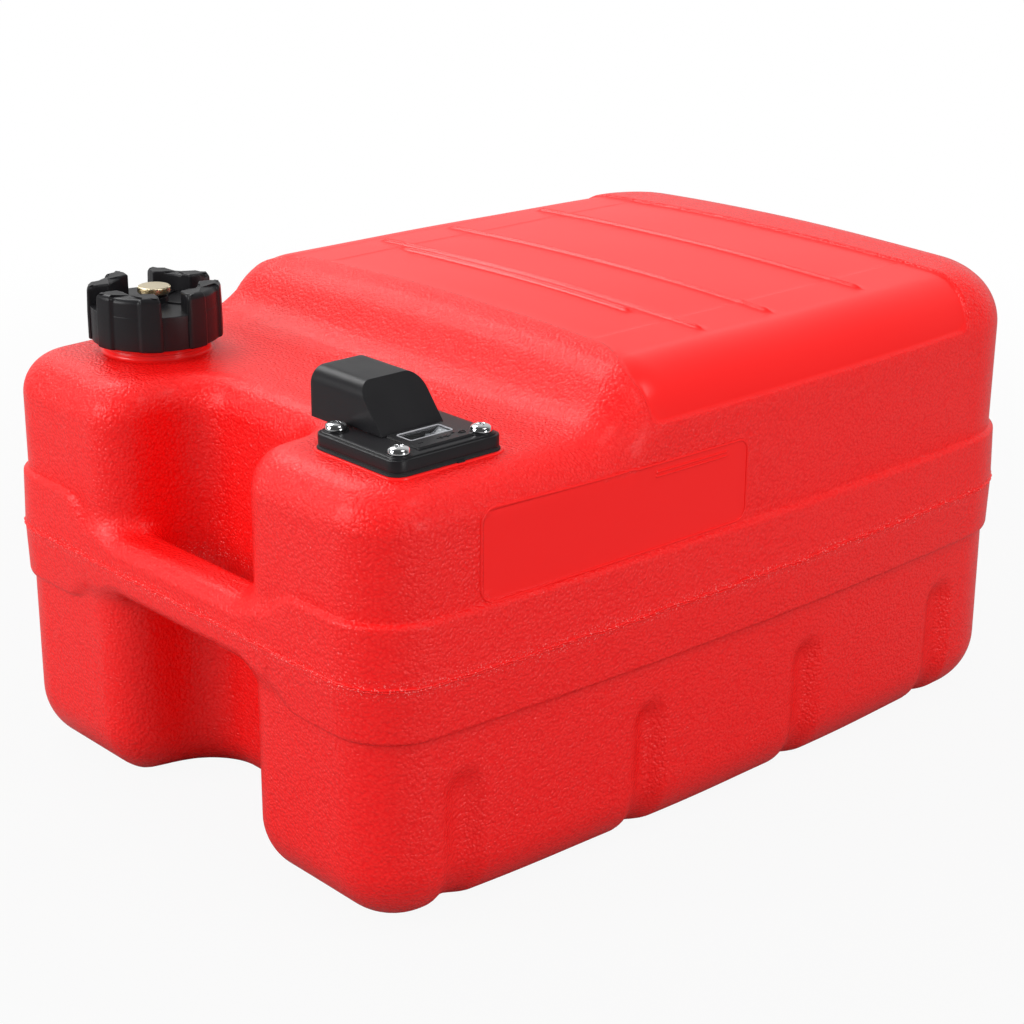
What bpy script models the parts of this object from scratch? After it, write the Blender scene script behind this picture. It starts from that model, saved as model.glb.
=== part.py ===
"""Portable fuel tank for an outboard motor, as an assembly of separate solids.

A blow-moulded tank with two front lobes, a hand notch between them and a grip
across the notch. The left lobe carries the filler neck with its vented cap. The
right lobe carries the pickup head: a plate held by four screws, a hood over the
hose fitting, and a level gauge whose dial is turned by a float on an arm.

Metres, +Z up. The grip end faces -Y. The origin is on the ground, under the
middle of the tank.
"""

import math

import bmesh
import bpy
from mathutils import Matrix, Vector

# Fits and small values shared by all pieces
SEAT_GAP = 0.0003
CUT_OVERRUN = 0.004
MERGE_DISTANCE = 0.000001
SMOOTH_ANGLE = math.radians(32)
FLAT_ANGLE = math.radians(0.05)
ROUND_STEPS = 20
SMALL_ROUND_STEPS = 16
HOLE_STEPS = 12
WIRE_STEPS = 10
YOKE_ARC_STEPS = 8

# Tank body: overall form
TANK_LENGTH = 0.500
TANK_WIDTH = 0.3406
SIDE_CROWN = 0.0065
LOBE_WIDTH = 0.1168
TOP_HEIGHT = 0.2605
DECK_DROP = 0.0305
TOP_CROWN = 0.0037
STEP_START = 0.128
STEP_END = 0.190
WALL = 0.004
FRONT_CORNER_RADIUS = 0.039
REAR_CORNER_RADIUS = 0.0575
DECK_EDGE_RADIUS = 0.022
TOP_EDGE_RADIUS = 0.034
BASE_EDGE_RADIUS = 0.034
TANK_ARC_STEPS = 4
CROWN_SHARES = (0.75, 0.40)
HOLLOW_CROWN_SHARES = (0.50,)
CORNER_STEPS = 6
HOLLOW_ARC_STEPS = 2
HOLLOW_CORNER_STEPS = 3
STATION_GAP = 0.0012

# Raised band round the middle, with the moulding seam along it
BAND_HEIGHT = 0.0625
BAND_DEPTH = 0.0037
BAND_DRAFT = 0.0010
BAND_EDGE_RADIUS = 0.0022
BAND_ROOT = 0.0020
BAND_END_RADIUS = 0.025
BAND_END_SETBACK = 0.0265
SEAM_HEIGHT = 0.134
SEAM_SHARE = 0.48
BAND_SIDE_STEPS = 8

# Smooth panel over the top, and its stiffening ribs
PANEL_START = 0.1925
PANEL_REAR_GAP = 0.0600
PANEL_DROP = 0.0290
PANEL_RECESS = 0.0014
RIB_WIDTH = 0.0046
RIB_HEIGHT = 0.0016
RIB_ROOT = 0.0010
RIB_STEPS = 6
RIB_INSET = 0.0373
FIRST_RIB = 0.2492
SECOND_RIB = 0.3024
THIRD_RIB = 0.3771
LEAD_RIB_OFFSET = 0.0078
LEAD_RIB_INSET = 0.0783

# Flutes in the lower sides
FLUTE_FIRST = 0.0545
FLUTE_SPACING = 0.1225
FLUTE_COUNT = 4
FLUTE_WIDTH = 0.027
FLUTE_DEPTH = 0.0050
FLUTE_GAP = 0.020
FLUTE_SHARES = (-1, -0.4, 0.4, 1)
HOLLOW_FLUTE_SHARES = (-1, 0, 1)

# Hand notch and the grip across it
NOTCH_DEPTH = 0.060
NOTCH_BACK_RADIUS = 0.024
NOTCH_MOUTH_RADIUS = 0.024
NOTCH_DECK_RADIUS = 0.016
NOTCH_BASE_RADIUS = 0.026
NOTCH_LEAD = 0.0003
MOUTH_CLOSING_SHARE = 0.85
NOTCH_STEPS = 4
GRIP_HEIGHT = 0.034
GRIP_DEPTH = 0.029
GRIP_EDGE_RADIUS = 0.011
GRIP_FLARE = 0.010
GRIP_FLARE_RUN = 0.022
GRIP_FLARE_STEPS = 4
GRIP_ROOT_STEPS = 2
GRIP_ARC_STEPS = 2
GRIP_ROUND_SHARE = 0.95

# Filler neck
FILLER_INSET = 0.0583
FILLER_SETBACK = 0.0723
NECK_RADIUS = 0.0315
NECK_BORE_RADIUS = 0.0270
NECK_RISE = 0.0187
NECK_COLLAR_RADIUS = 0.0345
NECK_COLLAR_RISE = 0.0030
NECK_COLLAR_TAPER = 0.0015

# Filler cap
CAP_RADIUS = 0.0366
CAP_RIM_GAP = 0.007
CAP_HEIGHT = 0.032
CAP_FLOOR_RISE = 0.0176
CAP_PLATE = 0.0040
CAP_THREAD_CLEARANCE = 0.0010
CAP_WELL_RADIUS = 0.024
CAP_LOBE_RELIEF = 0.0018
CAP_TOP_EDGE = 0.0016
CAP_SLOT_WIDTH = 0.0125
CAP_SLOT_COUNT = 4
CAP_TURN = math.radians(-15)
CAP_OUTLINE_STEPS = 60
CAP_SLOT_HALF_ANGLE = math.radians(10)
CAP_RELIEF_HALF_ANGLE = math.radians(12)
CAP_LOBE_BLEND = math.radians(5)
CAP_GASKET_WIDTH = 0.0040

# Vent screw in the middle of the cap
VENT_BOSS_RADIUS = 0.0075
VENT_BOSS_RISE = 0.0050
VENT_STEM_RADIUS = 0.0028
VENT_STEM_CLEARANCE = 0.0004
VENT_SEAL_RADIUS = 0.0062
VENT_SEAL_THICKNESS = 0.0012
VENT_HEAD_RADIUS = 0.00915
VENT_HEAD_THICKNESS = 0.0038
VENT_HEAD_EDGE = 0.0006
VENT_TRAVEL = 0.0016
VENT_CLIP_RADIUS = 0.0055
VENT_CLIP_THICKNESS = 0.0009
VENT_STEM_TAIL = 0.0014

# Pickup head: plate, gasket and screws
HEAD_INSET = 0.0562
HEAD_SETBACK = 0.0640
HEAD_WIDTH = 0.062
HEAD_DEPTH = 0.066
HEAD_CORNER_RADIUS = 0.0070
GASKET_THICKNESS = 0.0026
PLATE_INSET = 0.0019
PLATE_THICKNESS = 0.0052
TIER_INSET = 0.0016
TIER_THICKNESS = 0.0008
SPIGOT_RADIUS = 0.0192
SPIGOT_DEPTH = 0.0130
SPIGOT_CLEARANCE = 0.0007
SCREW_SPACING_X = 0.0474
SCREW_SPACING_Y = 0.0506
SCREW_SHANK_RADIUS = 0.0023
SCREW_CLEARANCE = 0.0003
SCREW_HEAD_RADIUS = 0.0047
SCREW_HEAD_HEIGHT = 0.0032
SCREW_EDGE_SHARE = 0.35
SCREW_DOME_STEPS = 3
SCREW_BOSS_RADIUS = 0.0056
SCREW_BOSS_RISE = 0.0010
SCREW_TAIL_ROOM = 0.0020
INSERT_RADIUS = 0.0040
INSERT_LENGTH = 0.0080
INSERT_BOSS_WALL = 0.0030

# Hood over the hose fitting
HOOD_OVERHANG = 0.0225
HOOD_LENGTH = 0.0548
HOOD_WIDTH = 0.0384
HOOD_RISE = 0.0232
HOOD_SHIFT = 0.0032
HOOD_SLOPE_RUN = 0.0193
HOOD_EDGE_RADIUS = 0.0085
HOOD_WALL = 0.0022
HOOD_SKIRT_DROP = 0.0023
HOOD_SKIRT_CLEARANCE = 0.0010
HOOD_WELL_CLEARANCE = 0.0006

# Elbow tower, hose fitting and its valve
TOWER_PLACE = 0.0056
TOWER_LENGTH = 0.0135
TOWER_WIDTH = 0.0160
TOWER_RISE = 0.0122
TOWER_CHAMFER = 0.0034
FITTING_RISE = 0.0078
FITTING_REACH = 0.0500
FITTING_RADIUS = 0.0045
FITTING_COLLAR_RADIUS = 0.0066
FITTING_COLLAR_LENGTH = 0.0050
FITTING_SPIGOT_RADIUS = 0.0036
FITTING_SPIGOT_LENGTH = 0.0060
FITTING_BORE_RADIUS = 0.0022
FITTING_NOSE = 0.0015
GROOVE_PLACE = 0.0060
GROOVE_WIDTH = 0.0028
GROOVE_DEPTH = 0.0009
RING_PROUD = 0.0004
VALVE_CLEARANCE = 0.0005
VALVE_LENGTH = 0.0180
VALVE_TIP_SET = 0.0004

# Pickup tube and strainer
PICKUP_PLACE = 0.0046
PICKUP_RADIUS = 0.0030
PICKUP_WALL = 0.0009
PICKUP_FLOOR_GAP = 0.0120
STRAINER_RADIUS = 0.0048
STRAINER_HEIGHT = 0.0260
STRAINER_FLOOR_GAP = 0.0040
STRAINER_WALL = 0.0012

# Level gauge: display block, lens, dial and shaft
DISPLAY_GAP = 0.0006
DISPLAY_LENGTH = 0.0245
DISPLAY_WIDTH = 0.0345
DISPLAY_RISE = 0.0011
DISPLAY_BEVEL = 0.0009
WINDOW_PLACE = 0.0080
WINDOW_LENGTH = 0.0105
WINDOW_WIDTH = 0.0255
LENS_THICKNESS = 0.0010
LENS_LEDGE = 0.0008
DIAL_RADIUS = 0.0098
DIAL_THICKNESS = 0.0010
DIAL_CLEARANCE = 0.0007
DIAL_CHAMBER_FLOOR = 0.0012
DIAL_CHAMBER_ROOF = 0.0020
SHAFT_RADIUS = 0.0018
SHAFT_CLEARANCE = 0.0004
STEM_RADIUS = 0.0052

# Level gauge: gears, yoke, arm and float
PIVOT_HEIGHT = 0.118
CROWN_RADIUS = 0.0100
CROWN_TEETH = 20
PINION_TEETH = 10
TOOTH_HEIGHT = 0.0016
TOOTH_SHARE = 0.25
TOOTH_TIP_SHARE = 0.10
TOOTH_LAND_SHARE = 0.10
GEAR_FACE = 0.0030
GEAR_CLEARANCE = 0.0004
CROWN_DISC = 0.0026
CROWN_RIM = 0.0016
HUB_RADIUS = 0.0040
HUB_LENGTH = 0.0045
YOKE_PLATE = 0.0028
YOKE_WIDTH = 0.0110
YOKE_CLEARANCE = 0.0006
PIN_RADIUS = 0.0016
PIN_HEAD_RADIUS = 0.0028
PIN_HEAD = 0.0012
ARM_RADIUS = 0.0014
ARM_LENGTH = 0.095
ARM_REST = math.radians(-45)
FLOAT_RADIUS = 0.0140
FLOAT_LENGTH = 0.0360
FLOAT_EDGE = 0.0020
FLOAT_SIDE_GAP = 0.0010

# Places that follow from the sizes above
FRONT = -TANK_LENGTH / 2
DECK_HEIGHT = TOP_HEIGHT - DECK_DROP
NOTCH_WIDTH = TANK_WIDTH - 2 * LOBE_WIDTH
BAND_END_GAP = NOTCH_WIDTH + 2 * BAND_END_SETBACK
BAND_LOW = SEAM_HEIGHT - BAND_HEIGHT * SEAM_SHARE
BAND_HIGH = BAND_LOW + BAND_HEIGHT
FLUTE_TOP = BAND_LOW - FLUTE_GAP
PANEL_LOW_EDGE = TOP_HEIGHT - PANEL_DROP
PANEL_END = TANK_LENGTH - PANEL_REAR_GAP
RIB_REACH = TANK_WIDTH / 2 - RIB_INSET
LEAD_RIB_REACH = TANK_WIDTH / 2 - LEAD_RIB_INSET
FILLER_OFFSET = TANK_WIDTH / 2 - FILLER_INSET
HEAD_OFFSET = TANK_WIDTH / 2 - HEAD_INSET
STEP_RUN = STEP_END - STEP_START
STEP_ARC_RADIUS = (STEP_RUN ** 2 + DECK_DROP ** 2) / (4 * DECK_DROP)
STEP_SHIFT_SHARE = 0.45
RIB_PLACES = (FIRST_RIB, SECOND_RIB, THIRD_RIB)
NECK_TOP = DECK_HEIGHT + NECK_RISE
CAP_RIM = DECK_HEIGHT + CAP_RIM_GAP
CAP_TOP = CAP_RIM + CAP_HEIGHT
CAP_FLOOR = CAP_RIM + CAP_FLOOR_RISE
CAP_PLATE_UNDER = CAP_FLOOR - CAP_PLATE
VENT_SEAT = CAP_FLOOR + VENT_BOSS_RISE
VENT_HEAD_UNDER = VENT_SEAT + VENT_SEAL_THICKNESS + 2 * SEAT_GAP
PLATE_BASE = DECK_HEIGHT + GASKET_THICKNESS + 2 * SEAT_GAP
PLATE_TOP = PLATE_BASE + PLATE_THICKNESS + TIER_THICKNESS
SPIGOT_END = PLATE_BASE - SPIGOT_DEPTH
TOWER_FACE = -HEAD_WIDTH / 2 + PLATE_INSET + TOWER_PLACE
TOWER_BACK = TOWER_FACE + TOWER_LENGTH
PICKUP_X = TOWER_BACK - PICKUP_PLACE
FITTING_HEIGHT = PLATE_TOP + FITTING_RISE
HOOD_START = -HEAD_WIDTH / 2 - HOOD_OVERHANG
HOOD_END = HOOD_START + HOOD_LENGTH
DISPLAY_START = HOOD_END + DISPLAY_GAP
DIAL_X = DISPLAY_START + WINDOW_PLACE
DIAL_FLOOR = PLATE_BASE + DIAL_CHAMBER_FLOOR
DIAL_ROOF = PLATE_TOP - DIAL_CHAMBER_ROOF
LENS_TOP = PLATE_TOP + DISPLAY_RISE - LENS_THICKNESS / 2
PINION_RADIUS = CROWN_RADIUS * PINION_TEETH / CROWN_TEETH
CROWN_FACE = -(PINION_RADIUS + TOOTH_HEIGHT / 2 + GEAR_CLEARANCE)
CROWN_BACK = CROWN_FACE - CROWN_DISC
HUB_END = CROWN_BACK - HUB_LENGTH
CROWN_OUTER = CROWN_RADIUS + GEAR_FACE / 2 + CROWN_RIM
YOKE_TOP_UNDER = CROWN_OUTER + YOKE_CLEARANCE
YOKE_LEFT = HUB_END - YOKE_CLEARANCE
YOKE_RIGHT = PINION_RADIUS + TOOTH_HEIGHT / 2 + YOKE_CLEARANCE
FLOAT_START = CROWN_BACK - HUB_LENGTH / 2 + ARM_RADIUS + FLOAT_SIDE_GAP


def clear_scene():
    """Empties the scene."""
    for obj in list(bpy.data.objects):
        bpy.data.objects.remove(obj, do_unlink=True)


def make_material(name, colour, roughness, metallic=0.0):
    """Makes a plain Principled material."""
    made = bpy.data.materials.new(name)
    made.use_nodes = True
    shader = made.node_tree.nodes["Principled BSDF"]
    shader.inputs["Base Color"].default_value = (*colour, 1.0)
    shader.inputs["Roughness"].default_value = roughness
    shader.inputs["Metallic"].default_value = metallic
    return made


def anchor(name, place):
    """Adds an empty that carries the pieces of one assembly."""
    empty = bpy.data.objects.new(name, None)
    empty.location = place
    empty.empty_display_size = CAP_RADIUS
    bpy.context.collection.objects.link(empty)
    return empty


def weld(bm):
    """Merges points that coincide, and drops edges and facets without size."""
    bmesh.ops.remove_doubles(bm, verts=bm.verts, dist=MERGE_DISTANCE)
    bmesh.ops.dissolve_degenerate(bm, edges=bm.edges, dist=MERGE_DISTANCE)
    wires = [edge for edge in bm.edges if not edge.link_faces]
    bmesh.ops.delete(bm, geom=wires, context="EDGES")


def add_solid(name, bm, material=None, parent=None):
    """Turns a bmesh into an object whose faces point out."""
    weld(bm)
    bmesh.ops.recalc_face_normals(bm, faces=bm.faces)
    mesh = bpy.data.meshes.new(name)
    bm.to_mesh(mesh)
    bm.free()
    obj = bpy.data.objects.new(name, mesh)
    obj.parent = parent
    if material is not None:
        mesh.materials.append(material)
    bpy.context.collection.objects.link(obj)
    return obj


def merge_flats(obj):
    """Joins neighbouring facets that lie in one plane."""
    bm = bmesh.new()
    bm.from_mesh(obj.data)
    bmesh.ops.dissolve_limit(bm, angle_limit=FLAT_ANGLE, verts=bm.verts, edges=bm.edges)
    bm.to_mesh(obj.data)
    bm.free()


def smooth(obj):
    """Merges flat facets, shades an object smooth and keeps its real edges sharp."""
    merge_flats(obj)
    obj.data.shade_smooth()
    obj.data.set_sharp_from_angle(angle=SMOOTH_ANGLE)
    return obj


def combine(target, form, operation, parent=None):
    """Joins or cuts target with a form, given as a bmesh or an object in the same space."""
    tool = form if isinstance(form, bpy.types.Object) else add_solid("tool", form)
    tool.parent = target.parent if parent is None else parent
    bpy.context.view_layer.update()
    modifier = target.modifiers.new(operation.title(), "BOOLEAN")
    modifier.operation = operation
    modifier.solver = "EXACT"
    modifier.object = tool
    graph = bpy.context.evaluated_depsgraph_get()
    mesh = bpy.data.meshes.new_from_object(target.evaluated_get(graph))
    bm = bmesh.new()
    bm.from_mesh(mesh)
    weld(bm)
    bm.to_mesh(mesh)
    bm.free()
    target.modifiers.clear()
    spent = target.data
    target.data = mesh
    bpy.data.meshes.remove(spent)
    bpy.data.objects.remove(tool, do_unlink=True)


def cut(target, form):
    combine(target, form, "DIFFERENCE")


def fuse(target, form):
    combine(target, form, "UNION")


def skin(rings, ends_meet=False):
    """Skins a list of rings that have the same number of points."""
    bm = bmesh.new()
    loops = [[bm.verts.new(point) for point in ring] for ring in rings]
    pairs = list(zip(loops, loops[1:]))
    if ends_meet:
        pairs.append((loops[-1], loops[0]))
    for lower, upper in pairs:
        for i in range(len(lower)):
            j = (i + 1) % len(lower)
            bm.faces.new((lower[i], lower[j], upper[j], upper[i]))
    if not ends_meet:
        bm.faces.new(reversed(loops[0]))
        bm.faces.new(loops[-1])
    return bm


def turned(profile, steps=ROUND_STEPS, phase=0.0):
    """Turns a closed profile of (radius, height) points about the Z axis."""
    rings = []
    for i in range(steps):
        angle = phase + 2 * math.pi * i / steps
        rings.append([Vector((r * math.cos(angle), r * math.sin(angle), z)) for r, z in profile])
    return skin(rings, ends_meet=True)


def rod(radius, low, high, steps=ROUND_STEPS):
    """A plain upright cylinder."""
    return prism(arc((0, 0), radius, 0, 2 * math.pi, steps)[:-1], low, high)


def tube(inner, outer, low, high, steps=ROUND_STEPS):
    """A plain upright tube."""
    return turned([(inner, low), (outer, low), (outer, high), (inner, high)], steps)


def arc(centre, radius, start, end, steps):
    """Points on an arc, both ends included; angles in radians."""
    points = []
    for i in range(steps + 1):
        angle = start + (end - start) * i / steps
        points.append((centre[0] + radius * math.cos(angle), centre[1] + radius * math.sin(angle)))
    return points


def rounded_rectangle(width, depth, radius, steps=4, centre=(0, 0)):
    """Outline of a rectangle with round corners, anticlockwise."""
    points = []
    for turn, (sx, sy) in enumerate(((1, -1), (1, 1), (-1, 1), (-1, -1))):
        middle = (centre[0] + sx * (width / 2 - radius), centre[1] + sy * (depth / 2 - radius))
        start = math.pi / 2 * (turn - 1)
        points += arc(middle, radius, start, start + math.pi / 2, steps)
    return points


def prism(outline, low, high):
    """Upright prism over a plan outline."""
    return skin([[Vector((x, y, z)) for x, y in outline] for z in (low, high)])


def block(low, high):
    """Box between two corners."""
    outline = [(low[0], low[1]), (high[0], low[1]), (high[0], high[1]), (low[0], high[1])]
    return prism(outline, low[2], high[2])


def lay_along_x(bm):
    """Turns an upright form so that its top points to -X."""
    bmesh.ops.rotate(bm, verts=bm.verts, matrix=Matrix.Rotation(-math.pi / 2, 3, "Y"))
    return bm


def shift(bm, x, y, z):
    bmesh.ops.translate(bm, verts=bm.verts, vec=Vector((x, y, z)))
    return bm


# Form of the tank. In these functions y is the distance behind the front face.
# A skin depth of zero gives the outside, and the wall thickness gives the hollow.


def step_height(y):
    """Height of deck and top, joined by two equal arcs that meet half way."""
    along = min(max(y - STEP_START, 0), STEP_RUN)
    if along <= STEP_RUN / 2:
        return DECK_HEIGHT + STEP_ARC_RADIUS - math.sqrt(STEP_ARC_RADIUS ** 2 - along ** 2)
    back = STEP_RUN - along
    return TOP_HEIGHT - STEP_ARC_RADIUS + math.sqrt(STEP_ARC_RADIUS ** 2 - back ** 2)


def step_share(y):
    """Zero on the deck, one on the top."""
    return (step_height(y) - DECK_HEIGHT) / DECK_DROP


def side_bulge(y):
    """Outward crown of the long sides."""
    straight = TANK_LENGTH - FRONT_CORNER_RADIUS - REAR_CORNER_RADIUS
    t = min(max((y - FRONT_CORNER_RADIUS) / straight, 0), 1)
    return SIDE_CROWN * 4 * t * (1 - t)


def half_width(y, inset):
    """Half width of the plan outline, inset from the outer face of the band."""
    for distance, radius in ((y, FRONT_CORNER_RADIUS), (TANK_LENGTH - y, REAR_CORNER_RADIUS)):
        if distance < radius:
            reach = max(radius - inset, 0) ** 2 - (radius - distance) ** 2
            return TANK_WIDTH / 2 - radius + math.sqrt(max(reach, 0))
    return TANK_WIDTH / 2 + side_bulge(y) - inset


def flute_depth(y, z):
    """How deep the nearest flute is at a place on the side."""
    half = FLUTE_WIDTH / 2
    index = min(max(round((y - FLUTE_FIRST) / FLUTE_SPACING), 0), FLUTE_COUNT - 1)
    across = (y - FLUTE_FIRST - index * FLUTE_SPACING) / half
    above = max(z - (FLUTE_TOP - half), 0) / half
    distance = min(math.hypot(across, above), 1)
    return FLUTE_DEPTH * math.cos(math.pi / 2 * distance) ** 2


def top_level(y, x):
    """Height of the panel on the top, crowned across."""
    flat = half_width(y, BAND_DEPTH + TOP_EDGE_RADIUS)
    return step_height(y) - PANEL_RECESS + TOP_CROWN * step_share(y) * (1 - (x / flat) ** 2)


def rib_form(y, reach):
    """Rib across the top: a low ridge with sloped sides and ends that follows the crown."""
    foot = RIB_WIDTH / 4 * (2 + RIB_ROOT / RIB_HEIGHT)
    end = reach + RIB_HEIGHT + RIB_ROOT / 2
    places = [(-reach + 2 * reach * i / RIB_STEPS, RIB_HEIGHT) for i in range(RIB_STEPS + 1)]
    places = [(-end, -RIB_ROOT / 2)] + places + [(end, -RIB_ROOT / 2)]
    rings = []
    for x, rise in places:
        level = top_level(y, x)
        section = [(-foot, -RIB_ROOT), (foot, -RIB_ROOT), (RIB_WIDTH / 4, rise), (-RIB_WIDTH / 4, rise)]
        rings.append([Vector((x, FRONT + y + across, level + height)) for across, height in section])
    return skin(rings)


def tank_half_section(y, depth, detailed):
    """Half of the cross-section at y, from the base, up the side, to the middle of the top."""
    inset = BAND_DEPTH + depth
    room = max(min(y, TANK_LENGTH - y) - inset, 0)
    top = step_height(y - depth * STEP_SHIFT_SHARE) - depth
    growth = (TOP_EDGE_RADIUS - DECK_EDGE_RADIUS) * step_share(y)
    top_radius = DECK_EDGE_RADIUS + growth - depth
    base_radius = BASE_EDGE_RADIUS - depth
    recess = PANEL_RECESS if detailed and PANEL_START < y < PANEL_END else 0
    arc_steps = TANK_ARC_STEPS if detailed else HOLLOW_ARC_STEPS
    points = []

    base_full = math.acos(max(0, 1 - room / base_radius))
    for i in range(arc_steps + 1):
        angle = base_full * (1 - i / arc_steps)
        inward = base_radius * (1 - math.cos(angle))
        points.append((half_width(y, inset + inward), depth + base_radius * (1 - math.sin(angle))))

    flute_round = FLUTE_WIDTH / 2
    for share in (1, 0.5, 0):
        points.append((half_width(y, inset), FLUTE_TOP - flute_round * share))

    top_full = math.acos(max(0, 1 - room / top_radius))
    edge_sine = max(0, 1 - (TOP_HEIGHT - PANEL_LOW_EDGE) / TOP_EDGE_RADIUS)
    edge_angle = min(math.asin(edge_sine), top_full)
    turns = [(0, 0)]
    if detailed:
        turns.append((edge_angle, 0))
    for i in range(arc_steps + 1):
        turns.append((edge_angle + (top_full - edge_angle) * i / arc_steps, recess))
    for angle, sunk in turns:
        inward = top_radius - (top_radius - sunk) * math.cos(angle)
        height = top - top_radius + (top_radius - sunk) * math.sin(angle)
        points.append((half_width(y, inset + inward), height))

    points = [(x - flute_depth(y, z), z) for x, z in points]
    flat, level = points[-1]
    crown = TOP_CROWN * step_share(y)
    for share in CROWN_SHARES if detailed else HOLLOW_CROWN_SHARES:
        points.append((flat * share, level + crown * (1 - share ** 2)))
    points.append((0, level + crown))
    return points


def tank_stations(depth, detailed):
    """Distances behind the front face at which the tank's sections are taken."""
    inset = BAND_DEPTH + depth
    firm = []
    loose = []
    corner_steps = CORNER_STEPS if detailed else HOLLOW_CORNER_STEPS
    arc_steps = TANK_ARC_STEPS if detailed else HOLLOW_ARC_STEPS
    for i in range(corner_steps + 1):
        share = 1 - math.cos(math.pi / 2 * i / corner_steps)
        firm.append(inset + (FRONT_CORNER_RADIUS - inset) * share)
        firm.append(TANK_LENGTH - inset - (REAR_CORNER_RADIUS - inset) * share)
    if detailed:
        firm += [PANEL_START, PANEL_START + PANEL_RECESS, PANEL_END - PANEL_RECESS, PANEL_END]
    half_angle = math.asin(STEP_RUN / 2 / STEP_ARC_RADIUS)
    for i in range(arc_steps + 1):
        reach = STEP_ARC_RADIUS * math.sin(half_angle * i / arc_steps)
        loose += [STEP_START + reach, STEP_END - reach]
    for i in range(FLUTE_COUNT):
        middle = FLUTE_FIRST + i * FLUTE_SPACING
        shares = FLUTE_SHARES if detailed else HOLLOW_FLUTE_SHARES
        loose += [middle + FLUTE_WIDTH / 2 * share for share in shares]
    kept = list(firm)
    for place in loose:
        inside = min(firm) < place < max(firm)
        if inside and all(abs(place - other) > STATION_GAP for other in kept):
            kept.append(place)
    return sorted(kept)


def tank_form(depth, detailed):
    """The tank as a closed form: its outside, or the hollow inside its wall."""
    rings = []
    for y in tank_stations(depth, detailed):
        half = tank_half_section(y, depth, detailed)
        whole = half + [(-x, z) for x, z in reversed(half[:-1])]
        rings.append([Vector((x, FRONT + y, z)) for x, z in whole])
    return skin(rings)


def edge_inward(z, depth):
    """How far the front face draws in at a height, along the round base and deck edges."""
    for rise, radius in ((z - depth, BASE_EDGE_RADIUS - depth),
                         (DECK_HEIGHT - depth - z, DECK_EDGE_RADIUS - depth)):
        if rise < radius:
            sine = 1 - max(rise, 0) / radius
            return radius * (1 - math.sqrt(1 - sine ** 2))
    return 0


def notch_form(depth):
    """The hand notch as a cutting form, grown by the wall thickness for the hollow."""
    half = NOTCH_WIDTH / 2 + depth
    back_radius = NOTCH_BACK_RADIUS + depth
    base_radius = NOTCH_BASE_RADIUS - depth
    deck_radius = NOTCH_DECK_RADIUS - depth
    levels = [(-CUT_OVERRUN, base_radius, base_radius)]
    for i in range(NOTCH_STEPS + 1):
        angle = math.pi / 2 * (1 - i / NOTCH_STEPS)
        sunk = base_radius * (1 - math.sin(angle))
        levels.append((depth + sunk, base_radius * (1 - math.cos(angle)), base_radius))
    for i in range(NOTCH_STEPS + 1):
        angle = math.pi / 2 * i / NOTCH_STEPS
        sunk = deck_radius * (1 - math.sin(angle))
        levels.append((DECK_HEIGHT - depth - sunk, deck_radius * (1 - math.cos(angle)), deck_radius))
    levels.append((DECK_HEIGHT + CUT_OVERRUN, deck_radius, deck_radius))
    rings = []
    for z, growth, rim_radius in levels:
        mouth = (NOTCH_MOUTH_RADIUS - depth) * (1 - MOUTH_CLOSING_SHARE * growth / rim_radius)
        side = half + growth
        middle = (-half + back_radius, NOTCH_DEPTH + depth - back_radius)
        face = BAND_DEPTH + depth + edge_inward(z, depth) - NOTCH_LEAD
        face = min(face, middle[1] - mouth - NOTCH_LEAD)
        left = [(-side - mouth, -CUT_OVERRUN)]
        left += arc((-side - mouth, face + mouth), mouth, -math.pi / 2, 0, NOTCH_STEPS)
        left += arc(middle, back_radius + growth, math.pi, math.pi / 2, NOTCH_STEPS)
        whole = left + [(-x, y) for x, y in reversed(left)]
        rings.append([Vector((x, FRONT + y, z)) for x, y in whole])
    return skin(rings)


def band_path():
    """Right half of the band's route: place, outward direction and distance from its front end."""
    half = TANK_WIDTH / 2
    start = BAND_END_GAP / 2
    path = []
    for i in range(TANK_ARC_STEPS + 1):
        run = BAND_END_RADIUS * (1 - math.cos(math.pi / 2 * i / TANK_ARC_STEPS))
        path.append((start + run, 0, 0, -1, run))
    middle = (half - FRONT_CORNER_RADIUS, FRONT_CORNER_RADIUS)
    for i in range(CORNER_STEPS + 1):
        angle = -math.pi / 2 * (1 - i / CORNER_STEPS)
        c, s = math.cos(angle), math.sin(angle)
        path.append((middle[0] + FRONT_CORNER_RADIUS * c, middle[1] + FRONT_CORNER_RADIUS * s, c, s, 1))
    low, high = FRONT_CORNER_RADIUS, TANK_LENGTH - REAR_CORNER_RADIUS
    for i in range(1, BAND_SIDE_STEPS):
        y = low + (high - low) * i / BAND_SIDE_STEPS
        path.append((half + side_bulge(y), y, 1, 0, 1))
    middle = (half - REAR_CORNER_RADIUS, TANK_LENGTH - REAR_CORNER_RADIUS)
    for i in range(CORNER_STEPS + 1):
        angle = math.pi / 2 * i / CORNER_STEPS
        c, s = math.cos(angle), math.sin(angle)
        path.append((middle[0] + REAR_CORNER_RADIUS * c, middle[1] + REAR_CORNER_RADIUS * s, c, s, 1))
    return path


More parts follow.
